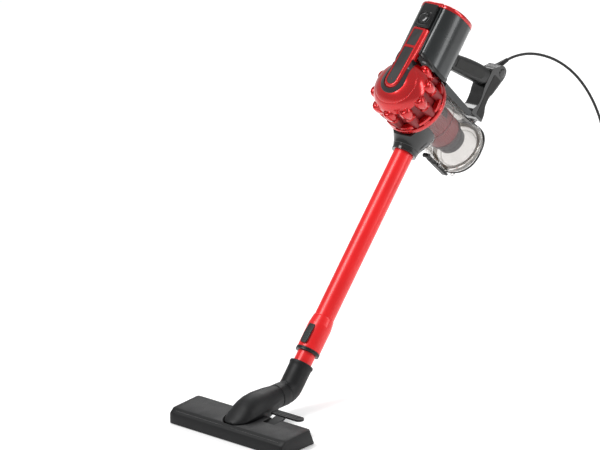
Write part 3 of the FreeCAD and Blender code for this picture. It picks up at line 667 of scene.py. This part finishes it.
def dome_trim():
    """The dark band that runs round the tongue's foot and up both its sides."""
    stations = []
    arm = 46
    for k in range(12):
        stations.append((-1, -arm + arm * k / 12, None))
    for k in range(31):
        stations.append((0, 0, math.pi - math.pi * k / 30))
    for k in range(12):
        stations.append((1, -arm * (k + 1) / 12, None))
    rings = []
    for side, along, angle in stations:
        share = min(1.0, -along / arm)
        wide = 24.6 - 7.4 * share ** 1.2

        def at(distance, height):
            if angle is None:
                return side * distance, along, height
            return distance * math.cos(angle), distance * math.sin(angle), height

        inner_front = -116.7 + 5.5 * share
        outer = at(wide, 0)
        outer_front = dome_front(math.hypot(outer[0], outer[1])) - 0.35
        outer_front = max(outer_front, inner_front + 0.4)
        rings.append([at(16.2, -96), at(16.2, inner_front + 0.5), at(16.7, inner_front),
                      at(wide - 0.7, outer_front - 0.35), at(wide, outer_front + 0.3), at(wide, -92)])
    solid("dome_trim", "dome_trim", skin(rings), CYCLONE, smooth=35)


def cones():
    wall = [(44.2, -86), (46.6, -86), (46.6, -36.2), (44.2, -36.2)]
    # the recessed wall behind the cones takes the darker red as painted shade
    solid("cyclone_cones", "cone_wall", lathe(wall, 128), CYCLONE, look="red_painted_shade")
    head = soften([(0, -91.5), (7.2, -91.0, 2.5), (11.2, -86.5, 4), (11.5, -76, 5), (8.8, -66.8, 1.4),
                   (8.4, -64.8, 0.8), (9.9, -63.6, 0.8), (9.6, -59, 1.5), (7.6, -37.5, 0.5),
                   (0, -37.5)], 0.8, 6, closed=False)
    for k in range(LOBES):
        angle = 2 * math.pi * (k + 0.5) / LOBES
        at = CYCLONE @ Matrix.Rotation(angle, 4, "Z") @ Matrix.Translation((48.2, 0, 0))
        item = solid("cyclone_cones", f"cyclone_cone_{k}", lathe(head, 48), at, smooth=38)
        hollow = lathe([(4.6 * math.cos(math.radians(15 * j - 90)), 4.6 * math.sin(math.radians(15 * j - 90)))
                        for j in range(13)], 24)
        dent = at @ Matrix.Translation((5.2, 0, -90.2)) @ Matrix.Diagonal((1.0, 1.6, 0.9, 1))
        carve(item, tool(*hollow, dent))
        lower = lathe([(8.3, -64), (9.95, -63.2), (9.7, -58.5), (7.75, -38), (6, -38)], 48)
        # each cone's lower body takes the darker red as painted shade under its head
        solid("cyclone_cones", f"cone_skirt_{k}", lower, at, look="red_painted_shade")
        gap = math.degrees(2 * math.pi * k / LOBES)
        rib = arc_bar(soften([(48, -46.5), (57.0, -45.6), (57.6, -40.5), (48, -40)], 0.8), gap - 12, gap + 12)
        solid("cyclone_cones", f"cone_bar_{k}", rib, CYCLONE)


def flange():
    profile = [(44.6, -36), (56.6, -36), (57.4, -35.2), (58, -33.2), (58, -28.6), (56.8, -27), (44.6, -27)]
    disc("cyclone_flange", "cyclone_flange", profile, CYCLONE, steps=128)
    for k in range(LOBES):
        gap = math.degrees(2 * math.pi * k / LOBES)
        tab = arc_bar(soften([(50, -38.2), (56.2, -38.0), (56.8, -35.4), (50, -35.4)], 0.5), gap - 6, gap + 6)
        solid("cyclone_flange", f"flange_tab_{k}", tab, CYCLONE)


# ---- cup -----------------------------------------------------------------------------------------
CUP_END = 127
PIN_OUT = 53.9


def cup():
    profile = [(42, -30), (44, -30), (45.2, 8), (48.4, 112), (48.8, 118.4), (50.5, 120.2), (50.5, 126.6),
               (48.4, 126.6), (46.8, 118), (43.4, 8)]
    disc("cup_shell", "cup_shell", profile, CYCLONE, radius=0.5, steps=128)
    for side in SIDES:
        eye = turned_at(CYCLONE, (side * 10.5, -PIN_OUT, CUP_END))
        solid("cup_lugs", f"cup_eye_{side}", bar(3.2, -2.5, 2.5), eye)
        web = box_shape((side * 10.5 - 2.4, -PIN_OUT, CUP_END - 5.4), (side * 10.5 + 2.4, -48, CUP_END - 0.4))
        solid("cup_lugs", f"cup_web_{side}", web, CYCLONE)
        lug = box_shape((side * 7.4 - 1.4, 46.5, 92), (side * 7.4 + 1.4, 55.4, 100))
        solid("cup_lugs", f"cup_lug_{side}", lug, CYCLONE)
    line = lathe(soften([(45.6, 22), (46.3, 22), (46.3, 23.4), (45.6, 23.4)], 0.3), 128)
    solid("cup_shell", "cup_fill_line", line, CYCLONE)


LID_SQUARE = 2.35


def squared_ring(levels):
    """A slightly squared ring from (half width, height) corners."""
    rings = [[(x, y, height) for x, y in squircle(half, half, LID_SQUARE, 96)] for half, height in levels]
    return skin(rings, closed_path=True)


def lid():
    low, high = CUP_END + 0.1, CUP_END + 8
    rim = [(44.6, low), (48.4, low), (48.9, low + 1), (48.9, high - 1.4), (48, high), (45.6, high),
           (44.6, high - 1)]
    solid("lid_rim", "lid_rim", squared_ring(rim), CYCLONE)
    edge = [(46.8, low + 3), (49.3, low + 3), (49.7, low + 3.6), (49.7, low + 5.6), (49.3, low + 6.2),
            (46.8, low + 6.2)]
    solid("lid_rim", "lid_edge", squared_ring(edge), CYCLONE, look="black_gloss")
    hinge = turned_at(CYCLONE, (0, -PIN_OUT, CUP_END))
    solid("lid_rim", "lid_knuckle", bar(3.2, -7.5, 7.5), hinge)
    solid("lid_rim", "lid_arm", box_shape((-7.4, -PIN_OUT, CUP_END + 1.6), (7.4, -47, CUP_END + 5.4)),
          CYCLONE)
    loop = CYCLONE @ Matrix.Translation((14, 50, CUP_END + 4.5))
    disc("lid_rim", "lid_loop", [(2.3, -1.5), (4.0, -1.5), (4.0, 1.5), (2.3, 1.5)], loop, radius=0.5,
         steps=32)
    disc("lid_window", "lid_window", [(0, CUP_END + 3.4), (44.7, CUP_END + 3.4), (44.7, CUP_END + 4.6),
                                      (0, CUP_END + 4.6)], CYCLONE, radius=0.3, steps=96)
    step = [(34, CUP_END + 4.5), (36, CUP_END + 4.5), (36, CUP_END + 5.7), (34, CUP_END + 5.7)]
    disc("lid_window", "lid_step", step, CYCLONE, radius=0.4, steps=96)
    seal = [(39.5, CUP_END - 4.5), (45.2, CUP_END - 4.5), (45.2, CUP_END - 0.2), (39.5, CUP_END - 0.2)]
    disc("lid_seal", "lid_seal", seal, CYCLONE, look="filter_white", radius=0.8)


def latch():
    outline = soften([(52, 62, 1), (56.4, 60, 2), (57.2, 96, 4), (56.8, 131, 2), (52.2, 133, 1),
                      (51.4, 110, 3)], 1.5, 5)
    flat("lid_latch", "lid_latch", outline, -5, 5, CYCLONE, edge=0.9)
    knob = turned_at(CYCLONE, (0, 54.5, 60))
    solid("lid_latch", "latch_knob", bar(4, -6, 6), knob)
    hub = turned_at(CYCLONE, (0, 53.5, 96))
    solid("lid_latch", "latch_hub", bar(3.4, -5.4, 5.4), hub)
    for k in range(4):
        rib = box_shape((-4, 55.6, 70 + 5 * k), (4, 57.6, 71.8 + 5 * k))
        solid("lid_latch", f"latch_rib_{k}", rib, CYCLONE)


def shroud():
    rings = []
    count = 180
    rows = [(41, -35.8, 0), (41, -33, 0), (38, -33, 0.5), (30.6, 70, 0.5), (30.6, 71, 0), (30, 75, 0),
            (28.4, 75, 0), (36.4, -35.8, 0)]
    for radius, height, rib in rows:
        ring = []
        for k in range(count):
            angle = 2 * math.pi * k / count
            here = radius + (rib if k % 3 == 0 else 0)
            ring.append((here * math.cos(angle), here * math.sin(angle), height))
        rings.append(ring)
    solid("shroud", "shroud", skin(rings, closed_path=True), CYCLONE, smooth=15)
    patch = arc_bar([(36.5, -12), (37.6, -12), (35.2, 20), (34.2, 20)], -38, -6, 12)
    solid("shroud", "shroud_panel", patch, CYCLONE, look="red_deep")
    disc("shroud", "shroud_ring", [(29, 70.5), (32, 70.5), (32, 74.6), (29, 74.6)], CYCLONE, look="red_deep",
         steps=96)


def core():
    profile = [(0, 75.2), (31, 75.2), (31, 79), (26.5, 80), (25.5, 104), (23.5, 106), (0, 106)]
    disc("core_cone", "core_cone", profile, CYCLONE, look="violet_grey", radius=0.9)
    disc("core_cone", "core_band", [(24, 92), (26.4, 92), (26.4, 95), (24, 95)], CYCLONE,
         look="black_plastic")
    disc("filter_core", "filter_core", [(17, -36), (26, -36), (26, 62), (0, 62), (0, 58), (17, 58)], CYCLONE)


# ---- neck, grip and post -------------------------------------------------------------------------
NECK_ROWS = [(0, 0, 22.4, 22.4, 2), (5, 0, 22.7, 22.9, 2), (14, -0.8, 24.7, 25.8, 2.05),
             (26, -2, 28.6, 33.4, 2.15), (38, -2.6, 31.8, 41, 2.3), (53, -2.6, 33.4, 46.4, 2.45)]


def neck():
    rows = smooth_rows(NECK_ROWS, 8)
    seam = 12
    low, high = rows[seam][0], rows[seam][0] + 0.7
    groove = [[height, rows[seam][1], rows[seam][2] - inset, rows[seam][3] - inset, rows[seam][4]]
              for height, inset in ((low, 0), (low + 0.1, 0.6), (high - 0.1, 0.6), (high, 0))]
    rows[seam:seam + 1] = groove
    rings = [[(x, middle + y, height) for x, y in squircle(wide, deep, power, 96)]
             for height, middle, wide, deep, power in rows]
    item = solid("neck_duct", "neck_duct", skin(rings), HAND, smooth=30)
    cup_growth = 4.6 / 150
    cup_space = lathe([(0, -30), (44.5, -30), (44.5 + cup_growth * 100, 70), (0, 70)], 96)
    carve(item, ring_tool(RING_SPACE, -26.4), tool(*cup_space, CYCLONE),
          tool(*lathe([(0, -1), (17.6, -1), (17.6, 34), (0, 34)], 64), HAND))
    cuff = [(17.7, -0.1), (21.6, -0.1), (22.6, 0.5), (22.9, 2.2), (22.4, 2.8), (17.7, 2.8)]
    disc("neck_duct", "neck_cuff", cuff, HAND, radius=0.4)


def post():
    outline = soften([(104.4, 141.2, 0.5), (142.6, 142.6, 3), (140.8, 158.4, 8), (133, 169, 8),
                      (131.8, 187, 9), (137, 196, 9), (148.2, 237, 7), (145.4, 248.6, 5), (136, 252.2, 5),
                      (125.5, 250.2, 4), (115, 238, 3), (106.2, 232, 2), (106.2, 196, 6), (111.6, 179, 6),
                      (112.6, 163, 6), (104.4, 149, 2)], 3, 7)
    flat("rear_post", "rear_post", outline, -13.9, 13.9, HAND, edge=2.4)
    strip = soften([(118.4, 147, 3), (139.3, 147.2, 3), (137.8, 157.5, 8), (130.6, 168, 8), (129.2, 188, 9),
                    (134.2, 197, 9), (141.2, 226.6, 3), (117.4, 226.6, 3), (116.4, 200, 8),
                    (118.2, 164, 8)], 3, 6)
    for side in SIDES:
        low, high = sorted((side * 13.0, side * 14.45))
        flat("post_strips", f"post_strip_{side}", strip, low, high, HAND, edge=0.5)
        cap = turned_at(HAND, (side * 14, 135, 239), angle=side * math.pi / 2)
        face = [(0, 1.4), (6, 1.2), (7.9, 0.6), (8.4, -0.4), (8.4, -1.4), (0, -1.4)]
        disc("post_caps", f"post_cap_{side}", face, cap, radius=0.4, steps=48)


GRIP_ROWS = [(12, 182, 13.7, 15.4, 2.9), (-8, 188.6, 13.9, 15.4, 2.7), (-34, 196.4, 13.9, 16.4, 2.6),
             (-62, 203.6, 13.9, 17.4, 2.6), (-86, 209.4, 13.9, 17.2, 2.7), (-105.6, 213.4, 13.9, 16.6, 3.0)]


def grip():
    lying = HAND @ Matrix.Rotation(math.pi / 2, 4, "X")
    solid("grip", "grip", loft(GRIP_ROWS), lying)
    pad = soften([(6.5, 179.5, 4), (62, 193.4, 10), (89.5, 201.4, 8), (93.4, 208, 6), (89.5, 216.6, 6),
                  (76, 216.6, 10), (46, 209, 10), (6.5, 196.6, 4)], 3, 6)
    for side in SIDES:
        low, high = sorted((side * 12.4, side * 14.45))
        flat("grip_pads", f"grip_pad_{side}", pad, low, high, HAND, edge=0.7)


def spine():
    outline = soften([(-10, 146.6, 1), (104, 143.3, 0.5), (104, 137, 0.5), (98, 133, 1), (66, 131.8, 1),
                      (6, 131.2, 1), (4.4, 144.6, 0.4), (-10, 145.8, 0.4)], 1, 3)
    item = flat("spine_bar", "spine_bar", outline, -13.9, 13.9, HAND, edge=1.6)
    carve(item, tool(*box_shape((-6.6, 79, 128), (6.6, 100, 160)), HAND))
    key = soften([(80.6, 136.8, 1), (98.2, 136.8, 1), (98.2, 146, 2), (80.6, 146.3, 2)], 1.5, 5)
    flat("cup_release", "cup_release", key, -5.9, 5.9, HAND, edge=0.9)
    for k in range(3):
        rib = box_shape((-4.6, 84 + 4 * k, 145.6), (4.6, 85.6 + 4 * k, 146.5))
        solid("cup_release", f"release_rib_{k}", rib, HAND)


def relief():
    profile = [(0, 0), (6, 0), (6, 33)]
    for k in range(7):
        low = 34.6 + 4.2 * k
        wide = 5.6 - 0.33 * k
        profile += [(wide - 1.2, low), (wide, low + 0.9), (wide - 0.1, low + 3.0), (wide - 1.3, low + 3.6)]
    profile += [(3.1, RELIEF_TALL - 0.3), (2.4, RELIEF_TALL), (0, RELIEF_TALL)]
    disc("strain_relief", "strain_relief", profile, RELIEF, radius=0.35, steps=48)


# ---- wand ----------------------------------------------------------------------------------------
def wand():
    tube = [(16.3, -384), (17.5, -384), (17.5, 33), (17.1, 33.5), (16.3, 33.5)]
    disc("upper_tube", "upper_tube", tube, HAND, radius=0.3)
    sleeve = [(17.4, -384), (20.2, -384), (20.7, -383.4), (20.7, -338), (20.3, -335.5), (18.8, -324),
              (18.3, -322), (17.4, -321.9)]
    disc("flare_sleeve", "flare_sleeve", sleeve, HAND, radius=0.8)
    collar = [(16.1, -390), (20.9, -390), (21.3, -389.4), (21.3, -387.6), (20.6, -387.2), (20.6, -386.6),
              (21.3, -386.2), (21.3, -384.4), (20.9, -384), (16.1, -384)]
    disc("collar_ring", "collar_ring", collar, HAND, radius=0.25)
    lower = [(14.8, -446), (16, -446), (16, -60.5), (15.6, -60), (14.8, -60)]
    disc("lower_tube", "lower_tube", lower, HAND, radius=0.3)


def slider():
    count = 10
    rings = []
    for k in range(count + 1):
        share = k / count
        up = -379 + 36 * share
        half = 6.9 * (1 - 0.35 * max(0, share - 0.8) * 5 * 0.5) * (1 - 0.25 * max(0, 0.12 - share) * 8)
        front = -25 + 2.6 * max(0.0, share - 0.55) / 0.45
        ring = soften([(-half, -21.2), (-half, front + 0.4), (half, front + 0.4), (half, -21.2)], 1.6, 5)
        rings.append([(x, y, up) for x, y in ring])
    solid("lock_slider", "lock_slider", skin(rings), HAND, smooth=35)
    for k in range(5):
        rib = box_shape((-4.6, -25.3, -374 + 3.2 * k), (4.6, -23.6, -372.4 + 3.2 * k))
        solid("lock_slider", f"slider_rib_{k}", rib, HAND)


# ---- elbow and floor head ------------------------------------------------------------------------
def elbow():
    half_turn = (math.pi / 2 - LEAN) / 2
    tangent = BEND_ROUND * math.tan(half_turn)
    up = Vector((0, math.sin(LEAN), math.cos(LEAN)))
    middle = Vector((0, BEND_BACK, NECK_AXIS))
    first = middle + up * tangent
    last = middle - Vector((0, tangent, 0))
    hub = middle + (up - Vector((0, 1, 0))).normalized() * (BEND_ROUND / math.cos(half_turn))
    path = []
    reach = (BEND_DOWN - SOCKET_DOWN) - tangent
    for k in range(14):
        path.append((first + up * reach * (1 - k / 14), up))
    for k in range(17):
        turn = Matrix.Rotation(-2 * half_turn * k / 16, 3, "X")
        path.append((hub + turn @ (first - hub), turn @ up))
    profile = [(0.0, 20.9), (1.2, 21.4), (5.5, 21.4), (6.4, 20.4), (7.6, 20.1)]
    angles = [2 * math.pi * j / 64 for j in range(64)]
    rings = []
    travelled = 0.0
    before = path[0][0]
    for point, way in path:
        travelled += (point - before).length
        before = point
        radius = 20.0
        for at, value in profile:
            if travelled <= at:
                radius = value
                break
        side = Vector((1, 0, 0))
        tall = way.cross(side).normalized()
        rings.append([tuple(point + side * radius * math.cos(a) + tall * radius * math.sin(a))
                      for a in angles])
    item = solid("elbow_pipe", "elbow_pipe", skin(rings), HEAD, smooth=50)
    top = middle + up * (BEND_DOWN - SOCKET_DOWN)
    socket = Matrix.Translation(top) @ up.to_track_quat("Z", "Y").to_matrix().to_4x4()
    carve(item, tool(*lathe([(0, 1), (16.05, 1), (16.05, -36.5), (0, -36.5)], 64), HEAD @ socket))
    spigot = Matrix.Translation(last) @ Matrix.Rotation(math.pi / 2, 4, "X")
    solid("elbow_pipe", "elbow_spigot", bar(16, -1, 22), HEAD @ spigot)


def hood():
    seam = BEND_BACK - BEND_ROUND * math.tan((math.pi / 2 - LEAN) / 2) - 0.3
    sections = ((-30, 27, 8, 3), (-27, 27.2, 13, 5.2), (-20, 27.4, 19, 9.6), (-12, 28, 23, 15),
                (0, 29.6, 26, 22), (12, 31, 27.5, 26.6), (24, 33.2, 28, 27.8), (38, 35, 27.5, 27.6),
                (52, 36.8, 26, 25.6), (66, 38.5, 23.6, 23.6), (78, 39.6, 21.4, 21.4), (86, 40, 20.2, 20.2),
                (86.6, 40, 19.7, 19.7), (87.4, 40, 19.7, 19.7), (88, 40, 20.6, 20.6),
                (seam - 1, 40, 20.6, 20.6), (seam, 40, 20.0, 20.0))
    rings = []
    for back, middle, wide, tall in sections:
        ring = []
        for j in range(72):
            angle = 2 * math.pi * j / 72
            ridge = 0.9 * max(0.0, 1 - abs(math.sin(angle) - 0.12) * 9) if -24 < back < 70 else 0
            ring.append(((wide + ridge) * math.cos(angle), back, middle + (tall + ridge) * math.sin(angle)))
        rings.append(ring)
    dense = []
    for first, second in zip(rings, rings[1:]):
        for step in range(3):
            share = step / 3
            dense.append([tuple(Vector(a) * (1 - share) + Vector(b) * share) for a, b in zip(first, second)])
    dense.append(rings[-1])
    item = solid("neck_hood", "neck_hood", skin(dense), HEAD, smooth=42)
    carve(item, tool(*box_shape((-40, -40, -48), (40, 40, 12)), HEAD))


# the opening over the hood's nose, seen from above in the head's frame
HOOD_OPENING = [(10, -32.8), (16, -29.5), (22.5, -21.5), (27, -12), (28.8, -3), (28.8, 46),
                (-28.8, 46), (-28.8, -3), (-27, -12), (-22.5, -21.5), (-16, -29.5), (-10, -32.8)]


def prism(outline, low, high):
    """A plain upright prism."""
    return skin([[(x, y, height) for x, y in outline] for height in (low, high)])


def head():
    half_wide, half_deep = 124, 42

    def section(x, inset, lift):
        return [(x, -half_deep + inset, 1 + lift * 0.2), (x, -half_deep + inset, 18.6 - lift),
                (x, -half_deep + inset + 1.4, 20.6 - lift), (x, -33.6 + inset * 0.5, 26.0 - lift),
                (x, -31.4 + inset * 0.5, 27.0 - lift), (x, 27.6 - inset, 29.9 - lift),
                (x, 30.6 - inset, 29.2 - lift),
                (x, 41.4 - inset, 3 + lift * 0.2), (x, 41.6 - inset, 1 + lift * 0.2)]

    rings = [section(-half_wide + 0.1, 3.4, 2.6), section(-half_wide + 0.9, 1.4, 1.0),
             section(-half_wide + 3, 0.3, 0.2), section(-half_wide + 10, 0, 0)]
    rings += [section(x, 0, 0) for x in range(-100, 101, 20)]
    rings += [section(half_wide - 10, 0, 0), section(half_wide - 3, 0.3, 0.2),
              section(half_wide - 0.9, 1.4, 1.0), section(half_wide - 0.1, 3.4, 2.6)]
    item = solid("head_shell", "head_shell", skin(rings), HEAD, smooth=28)
    hollow = box_shape((-121.6, -39.6, -4), (121.6, 36, 17.6))
    carve(item, tool(*hollow, HEAD), tool(*prism(HOOD_OPENING, 10, 60), HEAD),
          tool(*box_shape((-28.8, 12, 4), (28.8, 52, 60)), HEAD),
          tool(*box_shape((39.6, 8, 15.4), (64.4, 43, 60)), HEAD))
    solid("head_shell", "head_well_floor", box_shape((39.8, 8, 13.6), (64.2, 36.4, 15.2)), HEAD)
    for side in SIDES:
        groove = box_shape((side * 60 - 52, -37.6, 21.9), (side * 60 + 52, -36.9, 23.4))
        solid("head_shell", f"head_line_{side}", groove, HEAD, look="black_plastic")


def pedal():
    outline = [(30, 39.4), (84, 39.4)]
    outline += [(84 + 8.8 * math.sin(math.pi * k / 16),
                 48 - 8.8 * math.cos(math.pi * k / 16)) for k in range(17)]
    outline += [(84, 56.8), (30, 56.8)]
    flat("pedal", "pedal_plate", soften(outline, 1.2, 3), 30.6, 33.5, HEAD, edge=0.9, axis="z")
    arm = soften([(13, 21, 1), (17, 19, 1), (44, 30.7, 1), (44, 33.2, 1), (13, 25, 1)], 1, 3)
    flat("pedal", "pedal_arm", arm, 42, 62, HEAD, edge=0.6)
    hub = turned_at(HEAD, (52, 14, 21))
    solid("pedal", "pedal_hub", bar(4, -10, 10), hub)
    for k in range(6):
        rib = box_shape((40 + 8 * k, 42, 33.2), (41.6 + 8 * k, 54, 33.95))
        solid("pedal", f"pedal_rib_{k}", rib, HEAD)


def bristles():
    verts, faces = [], []
    seed = 7
    for row in (-30, 30):
        for k in range(98):
            for lane in range(2):
                seed = (seed * 1103515245 + 12345) % 2147483648
                lean = (seed / 2147483648 - 0.5) * 0.7
                x = -97.2 + 2 * k
                y = row + (lane - 0.5) * 1.9
                tuft = lathe([(0, 5.4), (0.75, 5.4), (0.62, 1.25), (0, 1.25)], 6)
                moved = [(px + x + lean * (5.4 - pz) / 4, py + y, pz) for px, py, pz in tuft[0]]
                start = len(verts)
                verts += moved
                faces += [tuple(j + start for j in face) for face in tuft[1]]
    solid("bristle_rows", "bristle_rows", (verts, faces), HEAD)


# ---- cord's ends ---------------------------------------------------------------------------------
PLUG_WAY = Vector((0.35, -0.937, 0)).normalized()


def plug():
    foot = Matrix.Translation(COIL + Vector((0.0366, -0.0223, 0.013)))
    turn = Vector((0, 0, 1)).rotation_difference(PLUG_WAY)
    at = foot @ turn.to_matrix().to_4x4() @ Matrix.Scale(MM, 4)
    rows = [(18, 0, 6, 5, 2), (22, 0, 10.5, 8, 2.2), (26, 0, 15, 11, 2.6), (38, 0, 16.4, 11.8, 3),
            (48, 0, 17.4, 12.3, 3), (50, 0, 16.8, 11.8, 3)]
    solid("plug_body", "plug_body", loft(rows, 5, 48), at, smooth=50)
    tail = [(0, 0), (3.2, 0), (3.4, 4), (4.2, 5), (3.7, 8), (4.7, 9), (4.2, 12), (5.2, 13), (4.7, 17),
            (5.4, 20), (0, 20)]
    disc("plug_body", "plug_tail", tail, at, radius=0.3, steps=32)
    for side in SIDES:
        pin = at @ Matrix.Translation((side * 9.5, 0, 0))
        disc("plug_pins", f"plug_pin_{side}", [(0, 50), (2.4, 50), (2.4, 67), (1.4, 69), (0, 69)], pin,
             radius=0.6, steps=24)


def tie():
    at = Matrix.Translation(COIL) @ Matrix.Rotation(math.radians(70), 4, "Z") @ Matrix.Scale(MM, 4)
    loop = soften([(17.0, -0.6), (43.1, -0.6), (43.1, 25.6), (17.0, 25.6)], 3, 6)
    inner = soften([(17.8, 0.1), (42.3, 0.1), (42.3, 24.9), (17.8, 24.9)], 2.4, 6)
    rings = []
    for outline, across in ((loop, -4), (loop, 4), (inner, 4), (inner, -4)):
        rings.append([(across, y, z) for y, z in outline])
    solid("cord_tie", "cord_tie", skin(rings, closed_path=True), at, smooth=40)


PIECES = (housing, grille, tongue, inlays, control_panel, button, dome, dome_trim, cones, flange, cup, lid,
          latch, shroud,
          core, neck, post, grip, spine, relief, wand, slider, elbow, hood, head, pedal, bristles, plug, tie)
for build in PIECES:
    build()


# ---- room ----------------------------------------------------------------------------------------
def room():
    mesh = bpy.data.meshes.new("floor")
    reach, low = 6, FLOOR - 0.0003
    mesh.from_pydata([(-reach, -reach, low), (reach, -reach, low), (reach, reach, low), (-reach, reach, low)],
                     [], [(0, 1, 2, 3)])
    floor = bpy.data.objects.new("floor", mesh)
    bpy.context.collection.objects.link(floor)
    paint = bpy.data.materials.new("floor")
    paint.use_nodes = True
    sockets = paint.node_tree.nodes["Principled BSDF"].inputs
    sockets["Base Color"].default_value = (0.93, 0.93, 0.93, 1)
    sockets["Emission Color"].default_value = (1, 1, 1, 1)
    sockets["Emission Strength"].default_value = 0.25
    sockets["Roughness"].default_value = 0.9
    mesh.materials.append(paint)
    world = bpy.data.worlds.new("studio")
    bpy.context.scene.world = world
    world.use_nodes = True
    sky = world.node_tree.nodes["Background"].inputs
    sky["Color"].default_value = (1, 1, 1, 1)
    sky["Strength"].default_value = 0.42
    bpy.context.scene.view_settings.view_transform = "Standard"

    def lamp(name, right, up, back, wide, tall, power):
        data = bpy.data.lights.new(name, "AREA")
        data.shape = "RECTANGLE"
        data.size, data.size_y, data.energy = wide, tall, power
        item = bpy.data.objects.new(name, data)
        target = Vector((0, -0.25, -0.2))
        item.location = target + RIGHT * right + UP * up + BACK * back
        item.rotation_euler = (item.location - target).to_track_quat("Z", "Y").to_euler()
        bpy.context.collection.objects.link(item)

    lamp("key", -1.5, 1.7, 1.3, 0.9, 1.5, 42)
    lamp("fill", 1.9, 0.7, 0.9, 0.5, 1.8, 15)
    lamp("back", 0.4, 2.4, -1.5, 2.4, 1.0, 42)


room()
